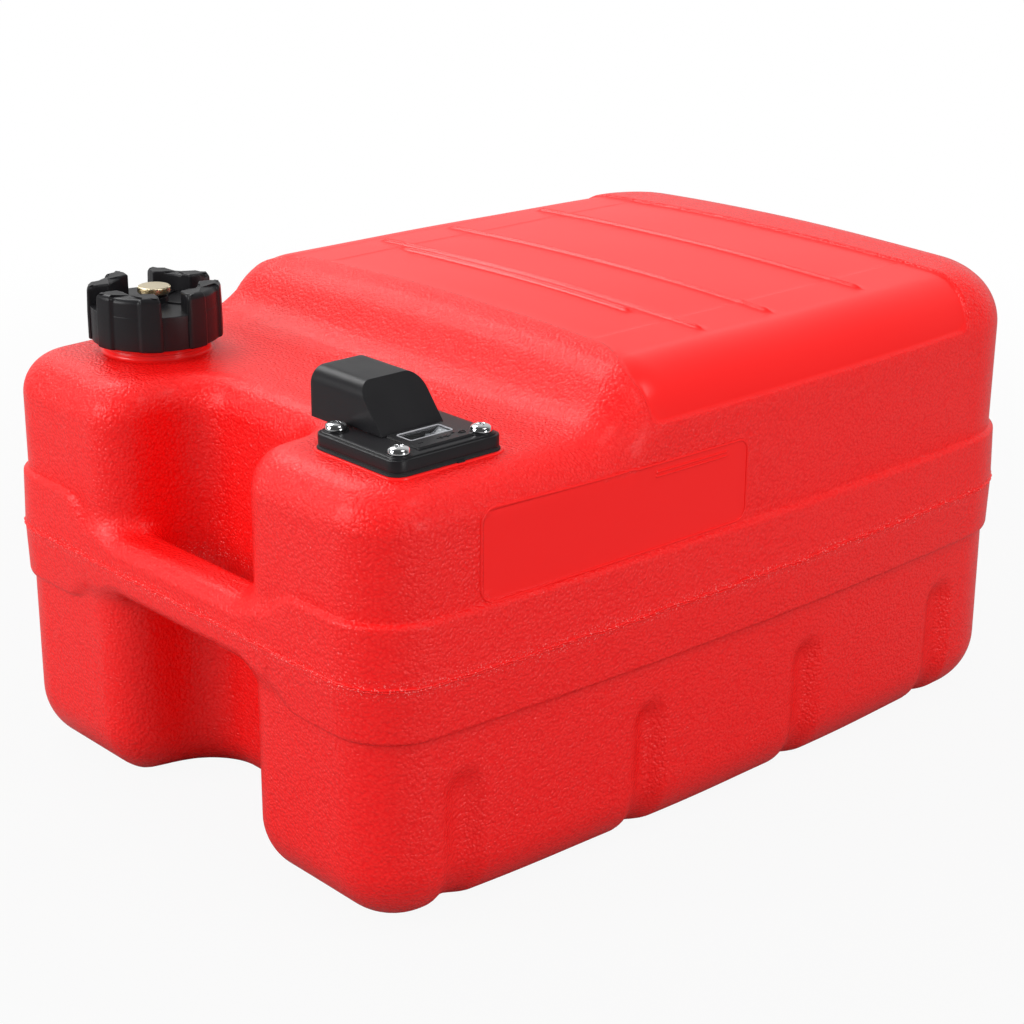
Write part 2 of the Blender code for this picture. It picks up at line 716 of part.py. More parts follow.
def band_form():
    """The raised band, carried round the tank, with round ends beside the notch."""
    right = band_path()
    left = [(-x, y, -nx, ny, run) for x, y, nx, ny, run in reversed(right)]
    rings = []
    for x, y, nx, ny, run in right + left:
        short = max(BAND_END_RADIUS - run, 0)
        lift = BAND_END_RADIUS - math.sqrt(BAND_END_RADIUS ** 2 - short ** 2)
        low, high = BAND_LOW + lift, BAND_HIGH - lift
        root = BAND_DEPTH + BAND_ROOT
        edge = BAND_DRAFT + BAND_EDGE_RADIUS
        section = [(root, low), (edge, low), (BAND_DRAFT, low + BAND_EDGE_RADIUS), (0, SEAM_HEIGHT),
                   (BAND_DRAFT, high - BAND_EDGE_RADIUS), (edge, high), (root, high)]
        rings.append([Vector((x - nx * sunk, FRONT + y - ny * sunk, z)) for sunk, z in section])
    return skin(rings)


def grip_form(depth):
    """The grip across the notch, flush with the band, flared where it meets the lobes."""
    wall_x = NOTCH_WIDTH / 2
    root_run = BAND_END_SETBACK + BAND_ROOT - depth
    places = [(0, 0, 0)]
    for i in range(GRIP_FLARE_STEPS + 1):
        share = i / GRIP_FLARE_STEPS
        flare = GRIP_FLARE * (1 - math.sqrt(1 - share ** 2))
        places.append((wall_x - GRIP_FLARE_RUN * (1 - share), flare, 0))
    for i in range(1, GRIP_ROOT_STEPS + 1):
        share = i / GRIP_ROOT_STEPS
        sunk = (BAND_DEPTH + BAND_ROOT) * share ** 2
        places.append((wall_x + root_run * share, GRIP_FLARE * (1 - share ** 2), sunk))
    both = [(-x, flare, sunk) for x, flare, sunk in reversed(places[1:])] + places
    rings = []
    for x, flare, sunk in both:
        width = GRIP_DEPTH + flare - sunk - 2 * depth
        height = GRIP_HEIGHT + 2 * flare - 2 * depth
        radius = min(GRIP_EDGE_RADIUS - depth, width / 2 * GRIP_ROUND_SHARE)
        outline = rounded_rectangle(width, height, radius, GRIP_ARC_STEPS,
                                    (depth + sunk + width / 2, SEAM_HEIGHT))
        rings.append([Vector((x, FRONT + y, z)) for y, z in outline])
    return skin(rings)


def screw_places():
    """Places of the four head screws from the middle of the head."""
    return [(sx * SCREW_SPACING_X / 2, sy * SCREW_SPACING_Y / 2) for sy in (-1, 1) for sx in (-1, 1)]


def make_tank(material):
    """Tank body: a hollow shell with notch, band, grip, neck and the seat of the head."""
    tank = add_solid("tank_body", tank_form(0, True), material)
    cut(tank, notch_form(0))
    fuse(tank, band_form())
    fuse(tank, grip_form(0))
    for place in RIB_PLACES:
        fuse(tank, rib_form(place, RIB_REACH))
    fuse(tank, rib_form(FIRST_RIB - LEAD_RIB_OFFSET, LEAD_RIB_REACH))
    filler = (-FILLER_OFFSET, FRONT + FILLER_SETBACK)
    head = (HEAD_OFFSET, FRONT + HEAD_SETBACK)
    root = DECK_HEIGHT - WALL / 2
    collar_top = DECK_HEIGHT + NECK_COLLAR_RISE
    neck = [(0, root), (NECK_COLLAR_RADIUS, root), (NECK_COLLAR_RADIUS, collar_top - NECK_COLLAR_TAPER),
            (NECK_COLLAR_RADIUS - NECK_COLLAR_TAPER, collar_top), (NECK_RADIUS, collar_top),
            (NECK_RADIUS, NECK_TOP), (0, NECK_TOP)]
    fuse(tank, shift(turned(neck, 2 * ROUND_STEPS), *filler, 0))

    hollow = add_solid("tank_hollow", tank_form(WALL, False))
    cut(hollow, notch_form(WALL))
    fuse(hollow, grip_form(WALL))
    boss_radius = INSERT_RADIUS + INSERT_BOSS_WALL
    boss_end = DECK_HEIGHT - INSERT_LENGTH - SCREW_TAIL_ROOM - INSERT_BOSS_WALL
    for x, y in screw_places():
        boss = rod(boss_radius, boss_end, DECK_HEIGHT, SMALL_ROUND_STEPS)
        cut(hollow, shift(boss, head[0] + x, head[1] + y, 0))
    cut(tank, hollow)

    bore = rod(NECK_BORE_RADIUS, root - WALL, NECK_TOP + CUT_OVERRUN, 2 * ROUND_STEPS)
    cut(tank, shift(bore, *filler, 0))
    hole = SPIGOT_RADIUS + SPIGOT_CLEARANCE
    cut(tank, shift(rod(hole, root - WALL, DECK_HEIGHT + CUT_OVERRUN, 2 * ROUND_STEPS), *head, 0))
    for x, y in screw_places():
        hole_end = DECK_HEIGHT - INSERT_LENGTH - SCREW_TAIL_ROOM
        pocket = rod(INSERT_RADIUS + SEAT_GAP, hole_end, DECK_HEIGHT + CUT_OVERRUN, SMALL_ROUND_STEPS)
        cut(tank, shift(pocket, head[0] + x, head[1] + y, 0))
    return smooth(tank)


# Cap and vent. Their pieces hang from empties on the filler's axis.


def cap_outline_radius(angle):
    """Lobed outer radius of the cap: lower in the slots and in the reliefs between them."""
    pitch = 2 * math.pi / CAP_SLOT_COUNT
    from_slot = abs((angle + pitch / 2) % pitch - pitch / 2)
    slot = (from_slot - CAP_SLOT_HALF_ANGLE) / CAP_LOBE_BLEND
    relief = (pitch / 2 - from_slot - CAP_RELIEF_HALF_ANGLE) / CAP_LOBE_BLEND
    share = min(max(min(slot, relief), 0), 1)
    return CAP_RADIUS - CAP_LOBE_RELIEF * (1 - math.sin(math.pi / 2 * share))


def make_cap(material, carrier):
    """Filler cap: lobed wall with four slots, a sunk floor, and a boss for the vent screw."""
    rings = []
    for z, drawn_in in ((CAP_RIM, 0), (CAP_TOP - CAP_TOP_EDGE, 0), (CAP_TOP, CAP_TOP_EDGE)):
        ring = []
        for i in range(CAP_OUTLINE_STEPS):
            angle = 2 * math.pi * i / CAP_OUTLINE_STEPS
            radius = cap_outline_radius(angle - CAP_TURN) - drawn_in
            ring.append(Vector((radius * math.cos(angle), radius * math.sin(angle), z)))
        rings.append(ring)
    cap = add_solid("filler_cap", skin(rings), material, carrier)
    skirt_radius = NECK_RADIUS + CAP_THREAD_CLEARANCE
    cut(cap, rod(skirt_radius, CAP_RIM - CUT_OVERRUN, CAP_PLATE_UNDER, 2 * ROUND_STEPS))
    cut(cap, rod(CAP_WELL_RADIUS, CAP_FLOOR, CAP_TOP + CUT_OVERRUN, 2 * ROUND_STEPS))
    for i in range(CAP_SLOT_COUNT):
        slot = block((CAP_WELL_RADIUS / 2, -CAP_SLOT_WIDTH / 2, CAP_FLOOR),
                     (CAP_RADIUS + CUT_OVERRUN, CAP_SLOT_WIDTH / 2, CAP_TOP + CUT_OVERRUN))
        turn = Matrix.Rotation(CAP_TURN + 2 * math.pi * i / CAP_SLOT_COUNT, 3, "Z")
        bmesh.ops.rotate(slot, verts=slot.verts, matrix=turn)
        cut(cap, slot)
    fuse(cap, rod(VENT_BOSS_RADIUS, CAP_FLOOR - CAP_PLATE / 2, VENT_SEAT))
    bore = VENT_STEM_RADIUS + VENT_STEM_CLEARANCE
    cut(cap, rod(bore, CAP_PLATE_UNDER - CUT_OVERRUN, VENT_SEAT + CUT_OVERRUN))
    return smooth(cap)


def make_cap_gasket(material, carrier):
    """Flat ring between the neck's rim and the underside of the cap."""
    inner = NECK_RADIUS - CAP_GASKET_WIDTH
    bm = tube(inner, NECK_RADIUS, NECK_TOP + SEAT_GAP, CAP_PLATE_UNDER - SEAT_GAP, 2 * ROUND_STEPS)
    return smooth(add_solid("cap_gasket", bm, material, carrier))


def make_vent(brass, rubber, steel, seal_carrier, carrier):
    """Vent screw through the cap's boss, its seal, and the clip that keeps it in."""
    clip_top = CAP_PLATE_UNDER - VENT_TRAVEL - SEAT_GAP
    tail = clip_top - VENT_CLIP_THICKNESS - VENT_STEM_TAIL
    head_top = VENT_HEAD_UNDER + VENT_HEAD_THICKNESS
    groove = VENT_STEM_RADIUS - VENT_STEM_CLEARANCE
    rim = VENT_HEAD_RADIUS - VENT_HEAD_EDGE
    profile = [(0, tail), (VENT_STEM_RADIUS, tail),
               (VENT_STEM_RADIUS, clip_top - VENT_CLIP_THICKNESS - SEAT_GAP),
               (groove, clip_top - VENT_CLIP_THICKNESS - SEAT_GAP), (groove, clip_top + SEAT_GAP),
               (VENT_STEM_RADIUS, clip_top + SEAT_GAP), (VENT_STEM_RADIUS, VENT_HEAD_UNDER),
               (rim, VENT_HEAD_UNDER), (VENT_HEAD_RADIUS, VENT_HEAD_UNDER + VENT_HEAD_EDGE),
               (VENT_HEAD_RADIUS, head_top - VENT_HEAD_EDGE), (rim, head_top), (0, head_top)]
    smooth(add_solid("vent_screw", turned(profile), brass, carrier))
    clip = tube(groove + SEAT_GAP, VENT_CLIP_RADIUS, clip_top - VENT_CLIP_THICKNESS, clip_top)
    smooth(add_solid("vent_clip", clip, steel, carrier))
    low = VENT_SEAT + SEAT_GAP
    seal = tube(VENT_STEM_RADIUS + SEAT_GAP, VENT_SEAL_RADIUS, low, low + VENT_SEAL_THICKNESS)
    smooth(add_solid("vent_seal", seal, rubber, seal_carrier))


# Pickup head. Its pieces hang from an empty under the middle of its plate.


def make_gasket(material, carrier):
    """Rubber gasket between the deck and the plate, with a lip all round."""
    low = DECK_HEIGHT + SEAT_GAP
    outline = rounded_rectangle(HEAD_WIDTH, HEAD_DEPTH, HEAD_CORNER_RADIUS)
    gasket = add_solid("head_gasket", prism(outline, low, low + GASKET_THICKNESS), material, carrier)
    hole = SPIGOT_RADIUS + SPIGOT_CLEARANCE
    cut(gasket, rod(hole, low - CUT_OVERRUN, low + GASKET_THICKNESS + CUT_OVERRUN))
    for x, y in screw_places():
        hole = rod(SCREW_SHANK_RADIUS + SCREW_CLEARANCE, low - CUT_OVERRUN, PLATE_BASE + CUT_OVERRUN, HOLE_STEPS)
        cut(gasket, shift(hole, x, y, 0))
    return smooth(gasket)


def display_form():
    """Raised block with sloped edges that frames the gauge window."""
    start, end = DISPLAY_START, DISPLAY_START + DISPLAY_LENGTH
    rings = []
    levels = ((PLATE_TOP - TIER_THICKNESS, 0), (PLATE_TOP, 0), (PLATE_TOP + DISPLAY_RISE, DISPLAY_BEVEL))
    for z, drawn_in in levels:
        half = DISPLAY_WIDTH / 2 - drawn_in / 2
        far = end - drawn_in
        corners = [(start, -half), (far, -half), (far, half), (start, half)]
        rings.append([Vector((x, HOOD_SHIFT + y, z)) for x, y in corners])
    return skin(rings)


def tower_form():
    """Elbow tower under the hood, with its upper back corner cut off to clear the sloped end."""
    low = PLATE_BASE + PLATE_THICKNESS / 2
    high = PLATE_TOP + TOWER_RISE
    outline = [(TOWER_FACE, low), (TOWER_BACK, low), (TOWER_BACK, high - TOWER_CHAMFER),
               (TOWER_BACK - TOWER_CHAMFER, high), (TOWER_FACE, high)]
    sides = (HOOD_SHIFT - TOWER_WIDTH / 2, HOOD_SHIFT + TOWER_WIDTH / 2)
    return skin([[Vector((x, y, z)) for x, z in outline] for y in sides])


def make_plate(material, carrier):
    """Plate of the head: two tiers, screw bosses, spigot, elbow tower and gauge display."""
    width = HEAD_WIDTH - 2 * PLATE_INSET
    depth = HEAD_DEPTH - 2 * PLATE_INSET
    radius = HEAD_CORNER_RADIUS - PLATE_INSET
    tier_low = PLATE_TOP - TIER_THICKNESS
    plate = add_solid("head_plate", prism(rounded_rectangle(width, depth, radius), PLATE_BASE, tier_low),
                      material, carrier)
    tier = rounded_rectangle(width - 2 * TIER_INSET, depth - 2 * TIER_INSET, radius - TIER_INSET)
    fuse(plate, prism(tier, PLATE_BASE + PLATE_THICKNESS / 2, PLATE_TOP))
    fuse(plate, rod(SPIGOT_RADIUS, SPIGOT_END, PLATE_BASE + PLATE_THICKNESS / 2))
    for x, y in screw_places():
        fuse(plate, shift(rod(SCREW_BOSS_RADIUS, PLATE_BASE + PLATE_THICKNESS / 2,
                              PLATE_TOP + SCREW_BOSS_RISE, ROUND_STEPS), x, y, 0))
    fuse(plate, display_form())
    fuse(plate, tower_form())

    for x, y in screw_places():
        hole = rod(SCREW_SHANK_RADIUS + SCREW_CLEARANCE, PLATE_BASE - CUT_OVERRUN,
                   PLATE_TOP + SCREW_BOSS_RISE + CUT_OVERRUN, HOLE_STEPS)
        cut(plate, shift(hole, x, y, 0))
    chamber = rod(DIAL_RADIUS + DIAL_CLEARANCE, DIAL_FLOOR, DIAL_ROOF)
    cut(plate, shift(chamber, DIAL_X, HOOD_SHIFT, 0))
    window = rounded_rectangle(WINDOW_LENGTH, WINDOW_WIDTH, LENS_LEDGE, 2, (DIAL_X, HOOD_SHIFT))
    cut(plate, prism(window, DIAL_ROOF - DIAL_THICKNESS, PLATE_TOP + DISPLAY_RISE + CUT_OVERRUN))
    ledge = rounded_rectangle(WINDOW_LENGTH + 2 * LENS_LEDGE, WINDOW_WIDTH + 2 * LENS_LEDGE,
                              2 * LENS_LEDGE, 2, (DIAL_X, HOOD_SHIFT))
    cut(plate, prism(ledge, LENS_TOP - LENS_THICKNESS - SEAT_GAP, PLATE_TOP + DISPLAY_RISE + CUT_OVERRUN))
    hole_top = DIAL_FLOOR + DIAL_THICKNESS
    shaft_hole = rod(SHAFT_RADIUS + SHAFT_CLEARANCE, SPIGOT_END - CUT_OVERRUN, hole_top, SMALL_ROUND_STEPS)
    cut(plate, shift(shaft_hole, DIAL_X, HOOD_SHIFT, 0))

    fuel_way = rod(PICKUP_RADIUS + SEAT_GAP, SPIGOT_END - CUT_OVERRUN, FITTING_HEIGHT, ROUND_STEPS)
    cut(plate, shift(fuel_way, PICKUP_X, HOOD_SHIFT, 0))
    socket_radius = FITTING_SPIGOT_RADIUS + SEAT_GAP
    socket_end = -FITTING_SPIGOT_LENGTH - SEAT_GAP
    socket = lay_along_x(rod(socket_radius, socket_end, CUT_OVERRUN, ROUND_STEPS))
    cut(plate, shift(socket, TOWER_FACE, HOOD_SHIFT, FITTING_HEIGHT))
    cross_end = -FITTING_SPIGOT_LENGTH / 2
    cross_way = lay_along_x(rod(FITTING_BORE_RADIUS, TOWER_FACE - PICKUP_X, cross_end, ROUND_STEPS))
    cut(plate, shift(cross_way, TOWER_FACE, HOOD_SHIFT, FITTING_HEIGHT))
    return smooth(plate)


def make_screws(steel, brass, carrier):
    """Four pan-head screws and the threaded inserts that they grip in the tank."""
    under = PLATE_TOP + SCREW_BOSS_RISE + SEAT_GAP
    top = under + SCREW_HEAD_HEIGHT
    tail = DECK_HEIGHT - INSERT_LENGTH
    edge = under + SCREW_HEAD_HEIGHT * SCREW_EDGE_SHARE
    dome = arc((0, 0), SCREW_HEAD_RADIUS, 0, math.pi / 2, SCREW_DOME_STEPS)[:-1]
    dome = [(r, edge + (top - edge) * z / SCREW_HEAD_RADIUS) for r, z in dome]
    profile = [(0, tail), (SCREW_SHANK_RADIUS, tail), (SCREW_SHANK_RADIUS, under),
               (SCREW_HEAD_RADIUS, under), *dome, (0, top)]
    for number, (x, y) in enumerate(screw_places(), 1):
        screw = shift(turned(profile, SMALL_ROUND_STEPS), x, y, 0)
        smooth(add_solid(f"head_screw_{number}", screw, steel, carrier))
        insert = tube(SCREW_SHANK_RADIUS + SEAT_GAP, INSERT_RADIUS, tail, DECK_HEIGHT, SMALL_ROUND_STEPS)
        smooth(add_solid(f"thread_insert_{number}", shift(insert, x, y, 0), brass, carrier))


def hood_section(wall, low):
    """Half tunnel outline across Y: upright sides with round top edges."""
    half = HOOD_WIDTH / 2 - wall
    top = PLATE_TOP + HOOD_RISE - wall
    radius = HOOD_EDGE_RADIUS - wall
    points = [(half, low)] + arc((half - radius, top - radius), radius, 0, math.pi / 2, 5)
    return points + [(-y, z) for y, z in reversed(points)]


def hood_slope_x(z, wall):
    """Where the sloped end of the hood lies at a height."""
    share = (z - PLATE_TOP) / HOOD_RISE
    return HOOD_END - wall - HOOD_SLOPE_RUN * share


def hood_form(start, low, wall):
    section = hood_section(wall, low)
    near = [Vector((start, HOOD_SHIFT + y, z)) for y, z in section]
    far = [Vector((hood_slope_x(z, wall), HOOD_SHIFT + y, z)) for y, z in section]
    return skin([near, far])


def make_hood(material, carrier):
    """Hood: a tunnel open toward the notch, closed by a sloped end, with a skirt past the plate."""
    low = PLATE_TOP + SEAT_GAP
    hood = add_solid("gauge_hood", hood_form(HOOD_START, low, 0), material, carrier)
    skirt_end = -HEAD_WIDTH / 2 - HOOD_SKIRT_CLEARANCE
    half = HOOD_WIDTH / 2
    fuse(hood, block((HOOD_START, HOOD_SHIFT - half, low - HOOD_SKIRT_DROP),
                     (skirt_end, HOOD_SHIFT + half, low + HOOD_SKIRT_DROP)))
    well_radius = SCREW_BOSS_RADIUS + HOOD_WELL_CLEARANCE
    well_place = (-SCREW_SPACING_X / 2, SCREW_SPACING_Y / 2, 0)
    well_low = low - CUT_OVERRUN
    well_high = PLATE_TOP + HOOD_RISE + CUT_OVERRUN
    cavity = add_solid("hood_cavity", hood_form(HOOD_START - CUT_OVERRUN, low - HOOD_SKIRT_DROP - CUT_OVERRUN,
                                                HOOD_WALL), None, carrier)
    cut(cavity, shift(rod(well_radius + HOOD_WALL, well_low - CUT_OVERRUN, well_high), *well_place))
    cut(hood, cavity)
    cut(hood, shift(rod(well_radius, well_low, well_high), *well_place))
    return smooth(hood)


def make_fitting(steel, rubber, brass, carrier, valve_carrier):
    """Hose fitting that points over the notch, its seal ring, and its spring-closed valve."""
    nose = FITTING_RADIUS - FITTING_NOSE
    groove_low = FITTING_REACH - GROOVE_PLACE - GROOVE_WIDTH
    groove = FITTING_RADIUS - GROOVE_DEPTH
    profile = [(FITTING_BORE_RADIUS, -FITTING_SPIGOT_LENGTH), (FITTING_SPIGOT_RADIUS, -FITTING_SPIGOT_LENGTH),
               (FITTING_SPIGOT_RADIUS, SEAT_GAP), (FITTING_COLLAR_RADIUS, SEAT_GAP),
               (FITTING_COLLAR_RADIUS, FITTING_COLLAR_LENGTH), (FITTING_RADIUS, FITTING_COLLAR_LENGTH),
               (FITTING_RADIUS, groove_low), (groove, groove_low), (groove, groove_low + GROOVE_WIDTH),
               (FITTING_RADIUS, groove_low + GROOVE_WIDTH), (FITTING_RADIUS, FITTING_REACH - FITTING_NOSE),
               (nose, FITTING_REACH), (FITTING_BORE_RADIUS, FITTING_REACH)]
    place = (TOWER_FACE, HOOD_SHIFT, FITTING_HEIGHT)
    smooth(add_solid("fuel_fitting", shift(lay_along_x(turned(profile)), *place), steel, carrier))
    ring_low = groove_low + SEAT_GAP
    ring_high = ring_low + GROOVE_WIDTH - 2 * SEAT_GAP
    ring = tube(groove + SEAT_GAP, FITTING_RADIUS + RING_PROUD, ring_low, ring_high)
    smooth(add_solid("fitting_ring", shift(lay_along_x(ring), *place), rubber, carrier))
    radius = FITTING_BORE_RADIUS - VALVE_CLEARANCE
    valve = rod(radius, -VALVE_LENGTH, 0, SMALL_ROUND_STEPS)
    smooth(add_solid("fitting_valve", lay_along_x(valve), brass, valve_carrier))


def make_pickup(metal, mesh_material, carrier):
    """Pickup tube from the elbow tower to the floor of the tank, with a strainer on its end."""
    tube_low = WALL + PICKUP_FLOOR_GAP
    tube_high = FITTING_HEIGHT - FITTING_SPIGOT_RADIUS - 2 * SEAT_GAP
    pipe = tube(PICKUP_RADIUS - PICKUP_WALL, PICKUP_RADIUS, tube_low, tube_high, ROUND_STEPS)
    smooth(add_solid("pickup_tube", shift(pipe, PICKUP_X, HOOD_SHIFT, 0), metal, carrier))
    low = WALL + STRAINER_FLOOR_GAP
    high = low + STRAINER_HEIGHT
    inner = STRAINER_RADIUS - STRAINER_WALL
    throat = PICKUP_RADIUS + SEAT_GAP
    profile = [(0, low), (STRAINER_RADIUS, low), (STRAINER_RADIUS, high), (throat, high),
               (throat, high - STRAINER_WALL), (inner, high - STRAINER_WALL), (inner, low + STRAINER_WALL),
               (0, low + STRAINER_WALL)]
    strainer = shift(turned(profile, ROUND_STEPS), PICKUP_X, HOOD_SHIFT, 0)
    smooth(add_solid("pickup_strainer", strainer, mesh_material, carrier))


def make_lens(material, carrier):
    """Clear window over the dial."""
    width = WINDOW_LENGTH + 2 * LENS_LEDGE - 2 * SEAT_GAP
    depth = WINDOW_WIDTH + 2 * LENS_LEDGE - 2 * SEAT_GAP
    outline = rounded_rectangle(width, depth, 2 * LENS_LEDGE - SEAT_GAP, 2, (DIAL_X, HOOD_SHIFT))
    lens = prism(outline, LENS_TOP - LENS_THICKNESS, LENS_TOP)
    return smooth(add_solid("gauge_lens", lens, material, carrier))


# Gauge works. Their places are taken from the point on the dial's axis at the float's pivot.


def pinion_form(low, high):
    """Small spur wheel with upright teeth; one tooth points to -X."""
    pitch = 2 * math.pi / PINION_TEETH
    root = PINION_RADIUS - TOOTH_HEIGHT / 2 - GEAR_CLEARANCE
    tip = PINION_RADIUS + TOOTH_HEIGHT / 2
    outline = []
    for i in range(PINION_TEETH):
        middle = math.pi + i * pitch
        for turn, radius in ((-TOOTH_SHARE, root), (-TOOTH_TIP_SHARE, tip), (TOOTH_TIP_SHARE, tip),
                             (TOOTH_SHARE, root)):
            angle = middle + turn * pitch
            outline.append((radius * math.cos(angle), radius * math.sin(angle)))
    return prism(outline, low, high)


def crown_form():
    """Crown wheel with teeth on its face, round the X axis; a gap between teeth points up."""
    low = CROWN_RADIUS - GEAR_FACE / 2
    high = CROWN_RADIUS + GEAR_FACE / 2
    pitch = 2 * math.pi / CROWN_TEETH
    rings = []
    for i in range(CROWN_TEETH):
        for share, rise_share in ((-TOOTH_SHARE, TOOTH_LAND_SHARE), (-TOOTH_TIP_SHARE, 1),
                                  (TOOTH_TIP_SHARE, 1), (TOOTH_SHARE, TOOTH_LAND_SHARE)):
            angle = (i + 0.5 + share) * pitch
            tip = CROWN_FACE + TOOTH_HEIGHT * rise_share
            section = [(0, CROWN_BACK), (CROWN_OUTER, CROWN_BACK), (CROWN_OUTER, CROWN_FACE),
                       (high, CROWN_FACE), (high, tip), (low, tip), (low, CROWN_FACE), (0, CROWN_FACE)]
            rings.append([Vector((x, r * math.cos(angle), r * math.sin(angle))) for r, x in section])
    return skin(rings, ends_meet=True)


def make_shaft(plastic, metal, carrier):
    """Upright shaft with the pinion at its foot and the dial on its head."""
    dial_low = DIAL_FLOOR + DIAL_CLEARANCE - PIVOT_HEIGHT
    pinion_low = CROWN_RADIUS - GEAR_FACE / 2
    pinion_high = CROWN_RADIUS + GEAR_FACE / 2
    core = rod(SHAFT_RADIUS, pinion_low, dial_low + DIAL_THICKNESS, SMALL_ROUND_STEPS)
    shaft = add_solid("gauge_shaft", core, plastic, carrier)
    fuse(shaft, pinion_form(pinion_low - SEAT_GAP, pinion_high))
    smooth(shaft)
    dial = tube(SHAFT_RADIUS + SEAT_GAP, DIAL_RADIUS, dial_low, dial_low + DIAL_THICKNESS, 2 * ROUND_STEPS)
    smooth(add_solid("gauge_dial", dial, metal, carrier))


def make_stem(material, carrier):
    """Stem round the shaft, and the yoke at its foot that holds the float's pivot pin."""
    stem_top = SPIGOT_END - SEAT_GAP - PIVOT_HEIGHT
    plate_top = YOKE_TOP_UNDER + YOKE_PLATE
    half = YOKE_WIDTH / 2
    stem = add_solid("gauge_stem", block((YOKE_LEFT - YOKE_PLATE, -half, YOKE_TOP_UNDER),
                                         (YOKE_RIGHT + YOKE_PLATE, half, plate_top)), material, carrier)
    for low, high in ((YOKE_LEFT - YOKE_PLATE, YOKE_LEFT), (YOKE_RIGHT, YOKE_RIGHT + YOKE_PLATE)):
        outline = [(-half, YOKE_TOP_UNDER + YOKE_PLATE / 2)]
        outline += arc((0, 0), half, math.pi, 2 * math.pi, YOKE_ARC_STEPS)
        outline += [(half, YOKE_TOP_UNDER + YOKE_PLATE / 2)]
        fuse(stem, skin([[Vector((x, y, z)) for y, z in outline] for x in (low, high)]))
    fuse(stem, rod(STEM_RADIUS, YOKE_TOP_UNDER + YOKE_PLATE / 2, stem_top, ROUND_STEPS))
    hole_radius = SHAFT_RADIUS + SHAFT_CLEARANCE
    cut(stem, rod(hole_radius, YOKE_TOP_UNDER - CUT_OVERRUN, stem_top + CUT_OVERRUN, SMALL_ROUND_STEPS))
    reach = YOKE_RIGHT + YOKE_PLATE + CUT_OVERRUN
    pin_end = -YOKE_LEFT + YOKE_PLATE + CUT_OVERRUN
    pin_hole = lay_along_x(rod(PIN_RADIUS + SEAT_GAP, -reach, pin_end, SMALL_ROUND_STEPS))
    cut(stem, pin_hole)
    return smooth(stem)


def make_pin(material, carrier):
    """Pivot pin with a flat head at each end, outside the yoke."""
    right = -(YOKE_RIGHT + YOKE_PLATE + SEAT_GAP)
    left = -YOKE_LEFT + YOKE_PLATE + SEAT_GAP
    profile = [(0, right - PIN_HEAD), (PIN_HEAD_RADIUS, right - PIN_HEAD), (PIN_HEAD_RADIUS, right),
               (PIN_RADIUS, right), (PIN_RADIUS, left), (PIN_HEAD_RADIUS, left),
               (PIN_HEAD_RADIUS, left + PIN_HEAD), (0, left + PIN_HEAD)]
    return smooth(add_solid("gauge_pin", lay_along_x(turned(profile, SMALL_ROUND_STEPS)), material, carrier))


def make_arm(plastic, carrier):
    """Crown wheel, hub, arm and the cross rod that carries the float, all turned to the rest angle."""
    arm = add_solid("float_arm", crown_form(), plastic, carrier)
    fuse(arm, lay_along_x(rod(HUB_RADIUS, -CROWN_FACE - CROWN_DISC / 2, -HUB_END, ROUND_STEPS)))
    arm_x = CROWN_BACK - HUB_LENGTH / 2
    wire = rod(ARM_RADIUS, HUB_RADIUS / 2, ARM_LENGTH + ARM_RADIUS, WIRE_STEPS)
    bmesh.ops.rotate(wire, verts=wire.verts, matrix=Matrix.Rotation(ARM_REST - math.pi / 2, 3, "X"))
    fuse(arm, shift(wire, arm_x, 0, 0))
    rod_end = FLOAT_START + FLOAT_LENGTH + FLOAT_EDGE
    cross = lay_along_x(rod(ARM_RADIUS, -rod_end, -arm_x, WIRE_STEPS))
    bmesh.ops.rotate(cross, verts=cross.verts, matrix=Matrix.Rotation(math.pi / 10, 3, "X"))
    fuse(arm, shift(cross, 0, ARM_LENGTH * math.cos(ARM_REST), ARM_LENGTH * math.sin(ARM_REST)))
    bore_start = -CROWN_FACE - CUT_OVERRUN
    bore_end = -HUB_END + CUT_OVERRUN
    cut(arm, lay_along_x(rod(PIN_RADIUS + SEAT_GAP, bore_start, bore_end, SMALL_ROUND_STEPS)))
    return smooth(arm)


def make_float(material, carrier):
    """Foam float, a short fat cylinder on the cross rod."""
    low, high = -(FLOAT_START + FLOAT_LENGTH), -FLOAT_START
    bore = ARM_RADIUS + SEAT_GAP
    profile = [(bore, low), (FLOAT_RADIUS - FLOAT_EDGE, low), (FLOAT_RADIUS, low + FLOAT_EDGE),
               (FLOAT_RADIUS, high - FLOAT_EDGE), (FLOAT_RADIUS - FLOAT_EDGE, high), (bore, high)]
    bm = lay_along_x(turned(profile))
    shift(bm, 0, ARM_LENGTH * math.cos(ARM_REST), ARM_LENGTH * math.sin(ARM_REST))
    return smooth(add_solid("float", bm, material, carrier))


